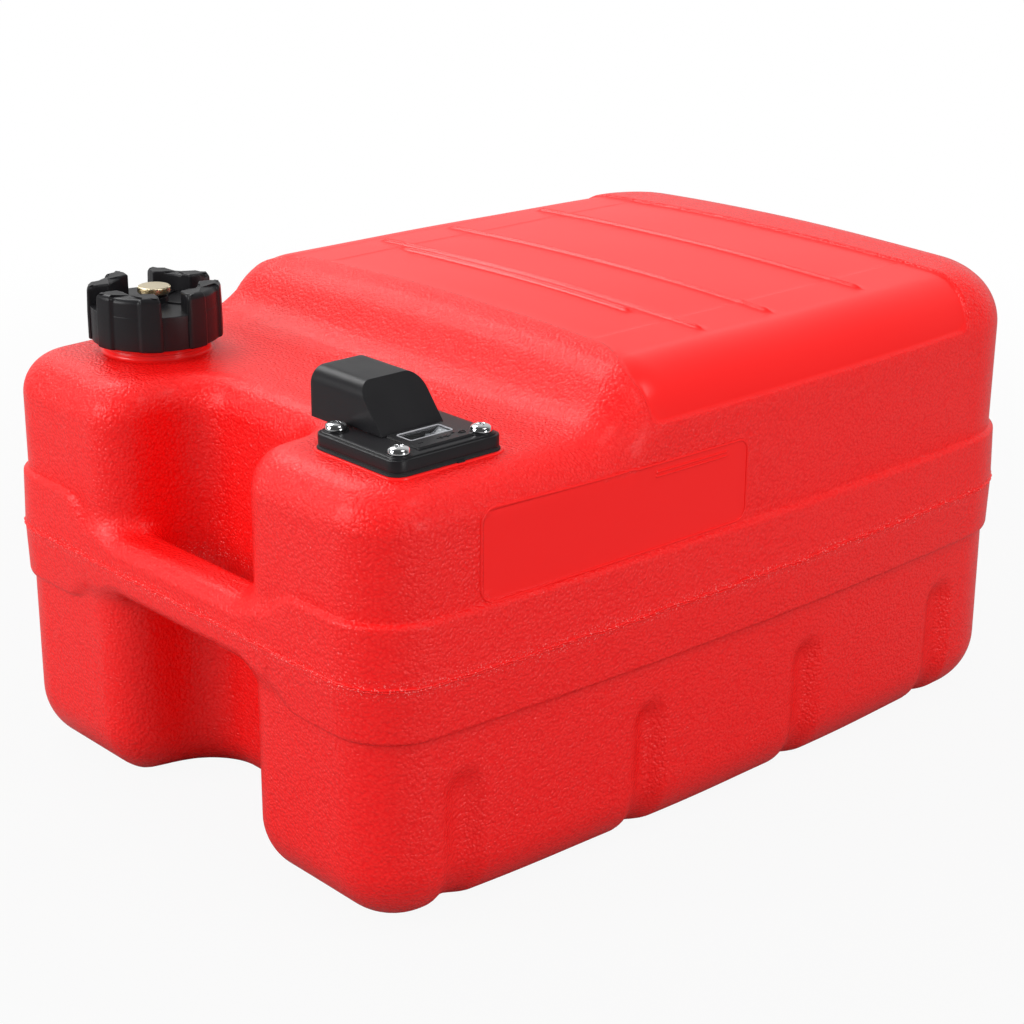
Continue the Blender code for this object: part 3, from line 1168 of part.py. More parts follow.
def main():
    clear_scene()
    red = make_material("red_plastic", (0.72, 0.012, 0.010), 0.42)
    black = make_material("black_plastic", (0.022, 0.022, 0.024), 0.35)
    white = make_material("white_plastic", (0.80, 0.80, 0.78), 0.40)
    rubber = make_material("black_rubber", (0.015, 0.015, 0.015), 0.75)
    foam = make_material("black_foam", (0.030, 0.030, 0.032), 0.85)
    chrome = make_material("chrome", (0.86, 0.87, 0.88), 0.10, 1.0)
    brass = make_material("brass", (0.80, 0.68, 0.40), 0.25, 1.0)
    alloy = make_material("aluminium", (0.78, 0.79, 0.80), 0.30, 1.0)
    clear = make_material("clear_plastic", (0.75, 0.78, 0.80), 0.08)

    make_tank(red)

    filler = (-FILLER_OFFSET, FRONT + FILLER_SETBACK, 0)
    cap_axis = anchor("cap_axis", filler)
    vent_axis = anchor("vent_axis", filler)
    make_cap(black, cap_axis)
    make_cap_gasket(rubber, cap_axis)
    make_vent(brass, rubber, chrome, vent_axis, vent_axis)

    head = anchor("head_frame", (HEAD_OFFSET, FRONT + HEAD_SETBACK, 0))
    make_gasket(rubber, head)
    make_plate(black, head)
    make_screws(chrome, brass, head)
    make_hood(black, head)
    make_lens(clear, head)
    make_pickup(alloy, brass, head)
    valve_tip = HEAD_OFFSET + TOWER_FACE - FITTING_REACH + VALVE_TIP_SET
    valve_axis = anchor("valve_axis", (valve_tip, FRONT + HEAD_SETBACK + HOOD_SHIFT, FITTING_HEIGHT))
    make_fitting(chrome, rubber, brass, head, valve_axis)

    pivot = (HEAD_OFFSET + DIAL_X, FRONT + HEAD_SETBACK + HOOD_SHIFT, PIVOT_HEIGHT)
    gauge_axis = anchor("gauge_axis", pivot)
    arm_axis = anchor("arm_axis", pivot)
    make_shaft(white, white, gauge_axis)
    make_stem(black, gauge_axis)
    make_pin(alloy, gauge_axis)
    make_arm(black, arm_axis)
    make_float(foam, arm_axis)


main()
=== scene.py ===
"""Looks of a portable outboard fuel tank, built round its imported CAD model.

Each sub-assembly is a class with its sizes as fields. Each finish is a small frozen class that
makes one procedural material. All places are in metres in the CAD model's frame: the grip end
faces -Y and +Z is up. In the tank's own formulas, `back` is the distance behind the front face.
"""

import logging
import math
from dataclasses import dataclass
from enum import Enum
from typing import Callable, Iterable

import bmesh
import bpy
import numpy as np
from bpy.types import Material, Node, NodeSocket, NodeTree, Object
from mathutils import Matrix, Vector


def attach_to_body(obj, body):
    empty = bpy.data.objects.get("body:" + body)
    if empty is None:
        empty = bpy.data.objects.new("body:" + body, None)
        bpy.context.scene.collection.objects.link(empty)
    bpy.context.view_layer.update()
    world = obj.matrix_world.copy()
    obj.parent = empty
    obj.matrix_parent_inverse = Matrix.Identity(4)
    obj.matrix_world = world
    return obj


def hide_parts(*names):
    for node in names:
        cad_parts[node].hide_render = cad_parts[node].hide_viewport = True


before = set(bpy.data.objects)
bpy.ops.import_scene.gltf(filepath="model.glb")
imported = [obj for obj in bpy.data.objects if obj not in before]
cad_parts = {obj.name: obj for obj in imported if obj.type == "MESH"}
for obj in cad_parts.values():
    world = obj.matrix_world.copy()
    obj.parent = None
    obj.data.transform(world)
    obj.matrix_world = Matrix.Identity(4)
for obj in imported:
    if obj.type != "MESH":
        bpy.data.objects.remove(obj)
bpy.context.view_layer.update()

Array = np.ndarray
Stretch = tuple[float, float, float]
Stretches = tuple[Stretch, ...]
LOG = logging.getLogger("fuel_tank")
WELD = 0.000002


class Body(str, Enum):
    """The moving bodies of the CAD model that pieces ride on."""

    TANK = "tank"
    CAP = "cap"
    VENT = "vent"


class Weave:
    """Collects grids of points into one mesh."""

    def __init__(self) -> None:
        """Starts empty."""
        self._points: list[Array] = []
        self._faces: list[Array] = []
        self._count = 0

    def grid(self, points: Array, wrap_rows: bool = False, wrap_columns: bool = False) -> "Weave":
        """Adds a grid of points as quads between neighbouring rows and columns.

        Args:
            points: Array of rows by columns by three.
            wrap_rows: Whether the last row joins the first.
            wrap_columns: Whether the last column joins the first.

        Returns:
            This weave, so that the next call can follow.
        """
        rows, columns = points.shape[:2]
        index = np.arange(rows * columns).reshape(rows, columns)
        if wrap_rows:
            index = np.vstack([index, index[:1]])
        if wrap_columns:
            index = np.hstack([index, index[:, :1]])
        corners = (index[:-1, :-1], index[:-1, 1:], index[1:, 1:], index[1:, :-1])
        quads = np.stack([corner.ravel() for corner in corners], axis=1)
        return self.loose(points.reshape(-1, 3), quads)

    def loose(self, points: Array, faces: Array) -> "Weave":
        """Adds points and their quads as they are, and gives this weave back.

        Args:
            points: Points by three.
            faces: Quads, as indices into these points.

        Returns:
            This weave.
        """
        self._points.append(points)
        self._faces.append(faces + self._count)
        self._count += len(points)
        return self

    def build(self, name: str, sharp: float = 40.0) -> Object:
        """Makes the object: poles and seams are closed, and faces point outwards.

        Args:
            name: Name of the piece.
            sharp: Edges that bend by more than this many degrees stay sharp.

        Returns:
            The new object, at the origin.
        """
        points = np.concatenate(self._points)
        faces = np.concatenate(self._faces)
        mesh = bpy.data.meshes.new(name)
        mesh.vertices.add(len(points))
        mesh.vertices.foreach_set("co", points.astype(np.float32).ravel())
        mesh.loops.add(faces.size)
        mesh.loops.foreach_set("vertex_index", faces.astype(np.int32).ravel())
        mesh.polygons.add(len(faces))
        mesh.polygons.foreach_set("loop_start", np.arange(0, faces.size, 4, dtype=np.int32))
        mesh.update(calc_edges=True)
        work = bmesh.new()
        work.from_mesh(mesh)
        bmesh.ops.remove_doubles(work, verts=work.verts, dist=WELD)
        bmesh.ops.dissolve_degenerate(work, edges=work.edges, dist=WELD / 2)
        bmesh.ops.recalc_face_normals(work, faces=work.faces)
        work.to_mesh(mesh)
        work.free()
        mesh.shade_smooth()
        mesh.set_sharp_from_angle(angle=math.radians(sharp))
        piece = bpy.data.objects.new(name, mesh)
        bpy.context.collection.objects.link(piece)
        return piece


def ring(radius: Array, height: Array, angles: Array, centre: tuple[float, float]) -> Array:
    """Surface of revolution: profile points at radius and height, turned through the angles.

    Args:
        radius: Radii, one a profile point, or a grid of profile points by angles.
        height: Heights, shaped like radius.
        angles: Angles in radians.
        centre: Place of the upright axis.

    Returns:
        Grid of profile points by angles by three.
    """
    shape = (len(radius), len(angles))
    radius, height = (np.broadcast_to(given if given.ndim == 2 else given[:, None], shape)
                      for given in (radius, height))
    return np.stack([centre[0] + radius * np.cos(angles), centre[1] + radius * np.sin(angles), height],
                    axis=-1)


def turn_angles(steps: int) -> Array:
    """Evenly spaced angles round a full circle, the last one left out."""
    return np.linspace(0, 2 * math.pi, steps, endpoint=False)


def revolved(profile: Array, steps: int, centre: tuple[float, float]) -> Array:
    """Profile of (radius, height) points, turned right round an upright axis."""
    return ring(profile[:, 0], profile[:, 1], turn_angles(steps), centre)


def polar(radius: Array | float, angles: Array) -> Array:
    """Plan points about the origin: radius times (cosine, sine)."""
    return np.stack([radius * np.cos(angles), radius * np.sin(angles)], axis=1)


def level(plan: Array, height: Array | float) -> Array:
    """Plan points with their heights beside them, one for all or one each."""
    return np.column_stack([plan, np.broadcast_to(height, len(plan))])


def soft_profile(points: list[tuple[float, float]], ease: float, closed: bool = False) -> Array:
    """Rounds the corners of a profile with quadratic curves that start `ease` before each corner.

    Args:
        points: Corners as (across, height) pairs.
        ease: Length taken off each side of a corner, at most 45% of that side.
        closed: Whether the profile is a loop.

    Returns:
        Array of points by two, five to a rounded corner.
    """
    most = 0.45
    corners = np.array(points, dtype=float)
    out = []
    last = len(corners) - 1
    share = np.linspace(0, 1, 5)[:, None]
    for index, corner in enumerate(corners):
        if not closed and index in (0, last):
            out.append(corner[None])
            continue
        start, end = (corner + side * (min(ease, most * np.hypot(*side)) / max(np.hypot(*side), 1e-9))
                      for side in (corners[index - 1] - corner, corners[(index + 1) % len(corners)] - corner))
        out.append((1 - share) ** 2 * start + 2 * share * (1 - share) * corner + share ** 2 * end)
    return np.concatenate(out)


def round_box_outline(width: float, depth: float, radius: float, steps: int = 10) -> Array:
    """Rectangle with quarter-circle corners: corner centre plus radius times (cosine, sine).

    Args:
        width: Size across.
        depth: Size along.
        radius: Radius of the corners.
        steps: Steps round each corner.

    Returns:
        Anticlockwise outline, points by two.
    """
    turns = np.linspace(0, math.pi / 2, steps + 1)
    out = []
    for quarter, (right, up) in enumerate(((1, 1), (-1, 1), (-1, -1), (1, -1))):
        angle = turns + quarter * math.pi / 2
        out.append(np.stack([right * (width / 2 - radius) + radius * np.cos(angle),
                             up * (depth / 2 - radius) + radius * np.sin(angle)], axis=1))
    return np.concatenate(out)


def eased_outline(outline: Array, count: int, ease: float) -> Array:
    """Closed outline, respaced evenly and smoothed by a bell curve `ease` wide along its length.

    Args:
        outline: Closed outline.
        count: Number of points wanted.
        ease: Width of the bell curve.

    Returns:
        Outline of that many points by two.
    """
    loop = np.vstack([outline, outline[:1]])
    length = np.concatenate([[0], np.cumsum(np.hypot(*np.diff(loop, axis=0).T))])
    even = np.linspace(0, length[-1], count, endpoint=False)
    spaced = np.stack([np.interp(even, length, loop[:, k]) for k in (0, 1)], axis=1)
    offset = np.fft.fftfreq(count, 1.0) * count * (length[-1] / count)
    bell = np.exp(-0.5 * (offset / ease) ** 2)
    weight = np.fft.fft(bell / bell.sum())
    return np.stack([np.fft.ifft(np.fft.fft(spaced[:, k]) * weight).real for k in (0, 1)], axis=1)


def by_angle(outline: Array, centre: tuple[float, float], angles: Array) -> Array:
    """Where rays from a centre, at the given angles, meet a closed outline round it.

    Args:
        outline: Closed outline, seen whole from the centre.
        centre: Where the rays start.
        angles: Angles of the rays.

    Returns:
        One point an angle, by two.
    """
    finer = 60
    loop = np.vstack([outline, outline[:1]])
    steps = np.linspace(0, len(outline), finer * len(outline))
    away = np.stack([np.interp(steps, np.arange(len(loop)), loop[:, k]) - centre[k] for k in (0, 1)], axis=1)
    reach = np.interp(angles, np.arctan2(away[:, 1], away[:, 0]), np.hypot(*away.T), period=2 * math.pi)
    return np.array(centre) + polar(reach, angles)


def outline_normals(outline: Array) -> Array:
    """Outward normals of an anticlockwise closed outline: the chord turned by a right angle.

    Args:
        outline: The outline, points by two.

    Returns:
        Unit vectors, points by two.
    """
    chord = np.roll(outline, -1, axis=0) - np.roll(outline, 1, axis=0)
    normal = np.stack([chord[:, 1], -chord[:, 0]], axis=1)
    return normal / np.maximum(np.linalg.norm(normal, axis=1, keepdims=True), 1e-12)


def upright(outline: Callable[[float], Array], rows: Array, centre: tuple[float, float]) -> Array:
    """Upright form over an outline: each row is the outline drawn in by an amount, at a height.

    Args:
        outline: Gives the outline for an inset.
        rows: Pairs of inset and height, from the base to the top.
        centre: Place of the form.

    Returns:
        Closed grid: it starts and ends in a point at the outline's centre.
    """
    rings = [level(outline(inset), height) for inset, height in rows]
    ends = [np.broadcast_to(np.array([*edge[:, :2].mean(axis=0), edge[0, 2]]), edge.shape)
            for edge in (rings[0], rings[-1])]
    grid = np.stack([ends[0], *rings, ends[1]])
    return grid + np.array([*centre, 0.0])


def half_round(width: float) -> Array:
    """Closed profile of a ridge of height one: half an ellipse, then the two ends of its foot.

    Args:
        width: Width of the ridge.

    Returns:
        Profile as (across, height) pairs.
    """
    angle = np.linspace(0, math.pi, 9)
    arch = np.stack([width / 2 * np.cos(angle), np.sin(angle)], axis=1)
    return np.vstack([arch, [[-width / 2, 0.0], [width / 2, 0.0]]])


def smooth_step(value: Array, low: Array | float, high: Array | float) -> Array:
    """Cubic step from 0 at low to 1 at high."""
    share = np.clip((value - low) / (high - low), 0, 1)
    return share * share * (3 - 2 * share)


def round_min(first: Array, second: Array, radius: Array | float) -> Array:
    """Inside distance of two faces that meet in a round edge of a radius.

    Where both distances are below the radius r, it is r - hypot(r - first, r - second).
    Elsewhere it is the smaller distance.
    """
    rounded = radius - np.hypot(radius - first, radius - second)
    return np.where((first < radius) & (second < radius), rounded, np.minimum(first, second))


def round_max(first: Array, second: Array, radius: Array | float) -> Array:
    """Inside distance of two bodies joined with a hollow fillet of a radius."""
    rounded = np.hypot(np.maximum(radius + first, 0), np.maximum(radius + second, 0)) - radius
    return np.where((first > -radius) & (second > -radius), rounded, np.maximum(first, second))


def gradient(place: Array, inside: Callable[[Array], Array]) -> Array:
    """Gradient of an inside distance at each point, by central differences.

    Args:
        place: Points by three.
        inside: Gives the inside distance.

    Returns:
        Slopes, points by three.
    """
    small = 0.00005
    slopes = []
    for axis in range(3):
        offset = np.zeros(3)
        offset[axis] = small
        slopes.append((inside(place + offset) - inside(place - offset)) / (2 * small))
    return np.stack(slopes, axis=1)


def settle(points: Array, inside: Callable[[Array], Array], rounds: int = 14, reach: float = 0.02) -> Array:
    """Moves points onto the zero level of an inside distance, along its gradient.

    Each round is one Newton step: point - value * gradient / gradient squared. The square counts as
    at least 0.25, which keeps the steps short where the gradient is weak.

    Args:
        points: Points in any grid shape, by three.
        inside: Gives the inside distance, positive in the material.
        rounds: Number of steps.
        reach: Longest step.

    Returns:
        The settled points, shaped as before.
    """
    place = points.reshape(-1, 3).copy()
    for _ in range(rounds):
        value = inside(place)
        slope = gradient(place, inside)
        square = np.maximum((slope ** 2).sum(axis=1), 0.25)
        step = -(value / square)[:, None] * slope
        length = np.linalg.norm(step, axis=1, keepdims=True)
        place += step * np.minimum(1, reach / np.maximum(length, 1e-12))
    return place.reshape(points.shape)


@dataclass(frozen=True)
class TankForm:
    """The tank's outer form as an inside distance: positive in the plastic, zero on its surface."""

    length: float = 0.500
    width: float = 0.3406
    side_crown: float = 0.0065
    deck: float = 0.230
    top: float = 0.2605
    top_crown: float = 0.0037
    step_start: float = 0.128
    step_end: float = 0.190
    front_corner: float = 0.039
    rear_corner: float = 0.0575
    deck_edge: float = 0.022
    top_edge: float = 0.034
    base_edge: float = 0.034
    rim_deck_edge: float = 0.017
    rim_base_edge: float = 0.026
    band_depth: float = 0.0037
    band_draft: float = 0.0010
    band_low: float = 0.104
    band_high: float = 0.1665
    band_gap: float = 0.080
    band_corner: float = 0.025
    band_round: float = 0.0028
    seam: float = 0.134
    notch_half: float = 0.0535
    notch_depth: float = 0.060
    notch_back: float = 0.024
    notch_mouth: float = 0.024
    rim_fade: tuple[float, float] = (-0.012, 0.030)
    flute_first: float = 0.0545
    flute_spacing: float = 0.1225
    flute_width: float = 0.030
    flute_depth: float = 0.0054
    flute_top: float = 0.086
    panel_recess: float = 0.0014
    panel_low: float = 0.2322
    panel_front: float = 0.1738
    panel_swing: float = 0.0147
    panel_turn: tuple[float, float] = (0.115, 0.158)
    panel_rear: float = 0.440
    panel_lean: float = 0.0075
    panel_corner: float = 0.006
    panel_edge: tuple[float, float] = (-0.0005, 0.0019)
    plate: tuple[float, float, float, float] = (0.0655, 0.2425, 0.1675, 0.2122)
    plate_corner: float = 0.0070
    plate_recess: float = 0.0002
    rib_height: float = 0.0018
    rib_width: float = 0.0040
    label_half: float = 0.1095
    label_front: tuple[float, float] = (0.191, 0.194)
    label_recess: float = 0.00022
    ribs: tuple[tuple[float, float, float], ...] = (
        (0.2492, -0.134, 0.134), (0.3024, -0.134, 0.134), (0.3771, -0.134, 0.134), (0.2416, -0.105, 0.089))

    def top_height(self, back: Array) -> tuple[Array, Array]:
        """Height of deck and top, joined by two equal arcs, and the cosine of its slope.

        Args:
            back: Distance behind the front.

        Returns:
            The height and the cosine, one a point.
        """
        rise, run = self.top - self.deck, self.step_end - self.step_start
        radius = (run ** 2 + rise ** 2) / (4 * rise)
        along = np.clip(back - self.step_start, 0, run)
        near = np.minimum(along, run - along)
        drop = radius - np.sqrt(radius ** 2 - near ** 2)
        height = np.where(along < run / 2, self.deck + drop, self.top - drop)
        return height, np.sqrt(radius ** 2 - near ** 2) / radius

    def raised(self, back: Array) -> Array:
        """Zero on the deck, one on the top."""
        return (self.top_height(back)[0] - self.deck) / (self.top - self.deck)

    def flute(self, back: Array, z: Array) -> Array:
        """Depth of the flutes: a squared cosine of the distance from the middle line.

        Args:
            back: Distance behind the front.
            z: Height.

        Returns:
            One depth a point.
        """
        nearest = np.clip(np.round((back - self.flute_first) / self.flute_spacing), 0, 3)
        half = self.flute_width / 2
        across = (back - self.flute_first - nearest * self.flute_spacing) / half
        above = np.maximum(z - (self.flute_top - half), 0) / half
        return self.flute_depth * np.cos(math.pi / 2 * np.minimum(np.hypot(across, above), 1)) ** 2

    def outer_plan(self, x: Array, back: Array, z: Array) -> Array:
        """Plan distance inside the outline without its notch: crowned sides and round corners.

        Args:
            x: Place across.
            back: Distance behind the front.
            z: Height.

        Returns:
            One distance a point, positive inside.
        """
        straight = self.length - self.front_corner - self.rear_corner
        share = np.clip((back - self.front_corner) / straight, 0, 1)
        crown = self.side_crown * 4 * share * (1 - share)
        side = self.width / 2 - self.band_depth + crown - self.flute(back, z) - np.abs(x)
        rear = round_min(side, self.length - self.band_depth - back, self.rear_corner - self.band_depth)
        return round_min(rear, back - self.band_depth, self.front_corner - self.band_depth)

    def notch_plan(self, x: Array, back: Array) -> Array:
        """Plan distance outside the hand notch, a slot with round inner corners.

        Args:
            x: Place across.
            back: Distance behind the front.

        Returns:
            One distance a point, positive outside.
        """
        across = np.abs(x) - self.notch_half + self.notch_back
        along = back - self.notch_depth + self.notch_back
        corner = np.hypot(np.maximum(across, 0), np.maximum(along, 0))
        return corner + np.minimum(np.maximum(across, along), 0) - self.notch_back

    def seam_share(self, z: Array) -> Array:
        """One at the seam, falling evenly to zero at the band's two edges."""
        reach = np.where(z > self.seam, self.band_high - self.seam, self.seam - self.band_low)
        return 1 - np.clip(np.abs(z - self.seam) / reach, 0, 1)

    def band(self, x: Array, back: Array, z: Array) -> Array:
        """Rise of the raised band: a rounded edge, then a slow crown towards the seam.

        Args:
            x: Place across.
            back: Distance behind the front.
            z: Height.

        Returns:
            One rise a point.
        """
        across = np.where(back < self.length / 2, np.abs(x) - self.band_gap, 1.0)
        height = np.minimum(z - self.band_low, self.band_high - z)
        inner = round_min(across, height, self.band_corner)
        edge = np.clip(inner / self.band_round, 0, 1)
        rounded = np.sqrt(np.maximum(1 - (1 - edge) ** 2, 0)) * smooth_step(inner, -0.0004, 0.0016)
        crown = self.seam_share(z) * smooth_step(inner, 0, 0.004)
        return (self.band_depth - self.band_draft) * rounded + self.band_draft * crown

    def panel(self, x: Array, back: Array, z: Array) -> Array:
        """One on the smooth panel over the top and upper sides, zero off it.

        Its front edge swings forwards where the flat top turns down into the side.

        Args:
            x: Place across.
            back: Distance behind the front.
            z: Height.

        Returns:
            One share a point.
        """
        height = np.clip((z - self.panel_low) / (self.top - self.panel_low), 0, 1)
        front = back - self.panel_front - self.panel_swing * (1 - smooth_step(np.abs(x), *self.panel_turn))
        rear = (self.panel_rear - self.panel_lean * (1 - height)) - back
        inner = round_min(np.minimum(front, rear), z - self.panel_low, self.panel_corner)
        return smooth_step(inner, *self.panel_edge)

    def plate_field(self, x: Array, back: Array, z: Array) -> Array:
        """One on the bare plate on the +X side, zero off it.

        Args:
            x: Place across.
            back: Distance behind the front.
            z: Height.

        Returns:
            One share a point.
        """
        front, rear, low, high = self.plate
        along = np.minimum(back - front, rear - back)
        inner = round_min(along, np.minimum(z - low, high - z), self.plate_corner)
        return smooth_step(inner, -0.0003, 0.0003) * (x > 0)

    def rib(self, x: Array, back: Array) -> Array:
        """Rise of the ribs: a cosine to the power 1.2 across each, faded at its ends.

        Args:
            x: Place across.
            back: Distance behind the front.

        Returns:
            One rise a point.
        """
        rise = np.zeros_like(x)
        for place, left, right in self.ribs:
            across = np.clip(np.abs(back - place) / (self.rib_width / 2), 0, 1)
            along = smooth_step(np.minimum(x - left, right - x), 0, 0.006)
            rise = np.maximum(rise, self.rib_height * np.cos(math.pi / 2 * across) ** 1.2 * along)
        return rise

    def waviness(self, x: Array, back: Array, z: Array) -> Array:
        """Slow unevenness of blown plastic: a sum of a few long sine waves."""
        return 0.00016 * (np.sin(31 * x + 17 * back + 1.0) * np.sin(23 * z + 29 * back)
                          + 0.8 * np.sin(53 * back + 19 * z + 2.0) * np.sin(47 * x + 0.5))

    def body(self, points: Array) -> tuple[Array, Array]:
        """Inside distance of the plain body, and how near each point is to the notch's rim.

        Plan distance and height are joined with round edges.

        Args:
            points: Places in the CAD frame, by three.

        Returns:
            One distance and one share a point.
        """
        x, back, z = points[:, 0], points[:, 1] + self.length / 2, points[:, 2]
        outer, notch = self.outer_plan(x, back, z), self.notch_plan(x, back)
        plan = round_min(outer, notch, self.notch_mouth)
        share = self.raised(back)
        height, cosine = self.top_height(back)
        across = np.clip(np.abs(x) / (self.width / 2 - self.top_edge), 0, 1)
        above = (height + self.top_crown * share * (1 - across ** 2) - z) * cosine
        rim = smooth_step(outer - notch, *self.rim_fade)
        deck_edge = self.deck_edge + (self.top_edge - self.deck_edge) * share
        body = round_min(plan, above, deck_edge + (self.rim_deck_edge - deck_edge) * rim)
        return round_min(body, z, self.base_edge + (self.rim_base_edge - self.base_edge) * rim), rim

    def plain(self, points: Array) -> Array:
        """Inside distance of the plain body alone."""
        return self.body(points)[0]

    def inside(self, points: Array) -> Array:
        """Inside distance of the whole body without its grip.

        The band, the ribs and the slow unevenness are added to the plain body as rises of its surface.
        The panel, the side plate and the bare field between the ribs are taken off it.

        Args:
            points: Places in the CAD frame, by three.

        Returns:
            One distance a point.
        """
        x, back, z = points[:, 0], points[:, 1] + self.length / 2, points[:, 2]
        body, rim = self.body(points)
        lifted = self.band(x, back, z) * (1 - rim) - self.plate_recess * self.plate_field(x, back, z)
        recess = self.panel_recess * self.panel(x, back, z)
        label = smooth_step(self.label_half - np.abs(x), -0.0006, 0.0006)
        label = label * smooth_step(back, *self.label_front)
        recess = recess + self.label_recess * label * (z > self.top - 0.006) * (back < self.panel_rear)
        ribs = self.rib(x, back) * (z > self.top - 0.01)
        return body + lifted - recess + ribs + self.waviness(x, back, z)


@dataclass(frozen=True)
class GripForm:
    """The grip as an inside distance: a bar with a rounded section across the notch."""

    height: float = 0.034
    depth: float = 0.029
    edge: float = 0.011
    middle: float = 0.134
    fillet: float = 0.011
    overlap: float = 0.006

    def bar(self, points: Array, tank: TankForm) -> Array:
        """Inside distance of the bar alone.

        Args:
            points: Places in the CAD frame, by three.
            tank: The body beside it.

        Returns:
            One distance a point.
        """
        back = points[:, 1] + tank.length / 2
        across = np.minimum(back, self.depth - back)
        height = self.height / 2 - np.abs(points[:, 2] - self.middle)
        along = tank.band_gap + self.overlap - np.abs(points[:, 0])
        return np.minimum(round_min(across, height, self.edge), along)

    def inside(self, points: Array, tank: TankForm) -> Array:
        """Inside distance of grip and body, joined with a hollow fillet and flush with the band's front.

        Args:
            points: Places in the CAD frame, by three.
            tank: The body that the grip grows from.

        Returns:
            One distance a point.
        """
        x, back, z = points[:, 0], points[:, 1] + tank.length / 2, points[:, 2]
        joint = round_max(self.bar(points, tank), tank.inside(points), self.fillet)
        front = back - tank.band_draft * (1 - tank.seam_share(z)) + tank.waviness(x, back, z)
        return np.minimum(joint, front)


@dataclass
class Tank:
    """Tank body: shell, grip, moulding seam, neck, side lines and the pad on the deck."""

    form: TankForm
    grip: GripForm
    cell: float = 0.0038
    shelf: float = 0.180
    fine_across: Stretches = ((0.070, 0.088, 0.001), (0.1085, 0.1105, 0.0007), (0.116, 0.158, 0.0017))
    fine_back: Stretches = ((0.171, 0.192, 0.0012), (0.431, 0.4425, 0.0013), (0.0640, 0.0670, 0.0005),
                            (0.2410, 0.2440, 0.0005))
    fine_low: Stretches = ((0.102, 0.109, 0.0007), (0.160, 0.1692, 0.0007), (0.132, 0.136, 0.001))
    fine_high: Stretches = ((0.229, 0.237, 0.0008), (0.2100, 0.2200, 0.0007))
    fine_rib: tuple[float, float] = (0.0026, 0.00065)
    fill_heights: tuple[float, float] = (0.2056, 0.2079)
    fill_reach: tuple[float, float] = (0.1757, 0.2273)
    neck_place: tuple[float, float] = (-0.112, -0.1777)
    neck_cut: float = 0.0304
    neck_edge: float = 0.0290
    neck_foot: float = 0.0309
    neck_bore: float = 0.0258
    neck_radius: float = 0.0286
    neck_top: float = 0.2487
    neck_base: float = 0.2255
    thread_radius: float = 0.0285
    thread_rise: float = 0.0013
    thread_pitch: float = 0.0040
    thread_top: float = 0.2475
    bar_end: float = 0.032
    root_growth: float = 0.021
    root_lap: float = 0.004
    head_place: tuple[float, float] = (0.1141, -0.186)
    pad_size: tuple[float, float] = (0.0672, 0.0720)
    pad_corner: float = 0.0090
    pad_nudge: tuple[float, float] = (0.0004, 0.0010)

    def lines(self, low: float, high: float, fixed: Iterable[float], fine: Iterable[Stretch]) -> Array:
        """Grid lines from low to high: even cells, closer ones in the fine stretches.

        Args:
            low: First line.
            high: Last line.
            fixed: Places that must carry a line.
            fine: Stretches as (from, to, cell).

        Returns:
            Sorted places.
        """
        stops = sorted({low, high, *fixed, *(value for start, end, _ in fine for value in (start, end))})
        out = [np.array([low])]
        for start, end in zip(stops, stops[1:]):
            middle = (start + end) / 2
            cell = min([one for first, last, one in fine if first <= middle <= last] or [self.cell])
            out.append(np.linspace(start, end, max(1, math.ceil((end - start) / cell - 0.01)) + 1)[1:])
        return np.concatenate(out)

    def cage(self) -> tuple[Array, Array]:
        """Box round the body with the notch left out, as points and quads.

        Caps are the cells of an x by back grid outside the notch. Walls join the caps along the
        edges of those cells, in rows that are level up to the shelf and follow the top above it.

        Returns:
            Points in the CAD frame, and quads.
        """
        form, shelf = self.form, self.shelf
        half = form.width / 2 + form.side_crown / 2
        mirrored = [(-end, -start, cell) for start, end, cell in self.fine_across]
        across = self.lines(-half, half, (-form.notch_half, form.notch_half), (*mirrored, *self.fine_across))
        beside, fine_cell = self.fine_rib
        ribs = [(place - beside, place + beside, fine_cell) for place, _, _ in form.ribs]
        back = self.lines(0.0, form.length, (form.notch_depth,), (*ribs, *self.fine_back))
        low = self.lines(0.0, shelf, (), self.fine_low)
        high = self.lines(shelf, form.top, (), self.fine_high)
        share = (high - shelf) / (form.top - shelf)

        keep = np.ones((len(across) - 1, len(back) - 1), dtype=bool)
        middle = (across[1:] + across[:-1]) / 2
        keep[np.ix_(np.abs(middle) < form.notch_half, (back[1:] + back[:-1]) / 2 < form.notch_depth)] = False
        node = np.arange(len(across) * len(back)).reshape(len(across), len(back))
        plan_x, plan_y = (grid.ravel() for grid in np.meshgrid(across, back, indexing="ij"))
        top = form.top_height(plan_y)[0]

        column, row = np.argwhere(keep).T
        corners = np.stack([node[column, row], node[column + 1, row], node[column + 1, row + 1],
                            node[column, row + 1]], axis=1)
        edges = np.concatenate([corners[:, [k, (k + 1) % 4]] for k in range(4)])
        key = np.sort(edges, axis=1) @ np.array([node.size, 1])
        _, first, count = np.unique(key, return_index=True, return_counts=True)
        rim = edges[first[count == 1]]

        levels = np.concatenate([np.broadcast_to(low[:, None], (len(low), node.size)),
                                 shelf + share[1:, None] * (top - shelf)])
        rows = len(levels)
        points = np.stack(np.broadcast_arrays(plan_x, plan_y, levels), axis=-1)
        stack = np.arange(rows * node.size).reshape(rows, node.size)
        start, end = rim.T
        walls = np.stack([stack[:-1, start], stack[:-1, end], stack[1:, end], stack[1:, start]],
                         axis=-1).reshape(-1, 4)
        quads = np.concatenate([corners[:, ::-1], corners + (rows - 1) * node.size, walls])
        used, inverse = np.unique(quads, return_inverse=True)
        points = points.reshape(-1, 3)[used]
        points[:, 1] -= form.length / 2
        return points, inverse.reshape(-1, 4)

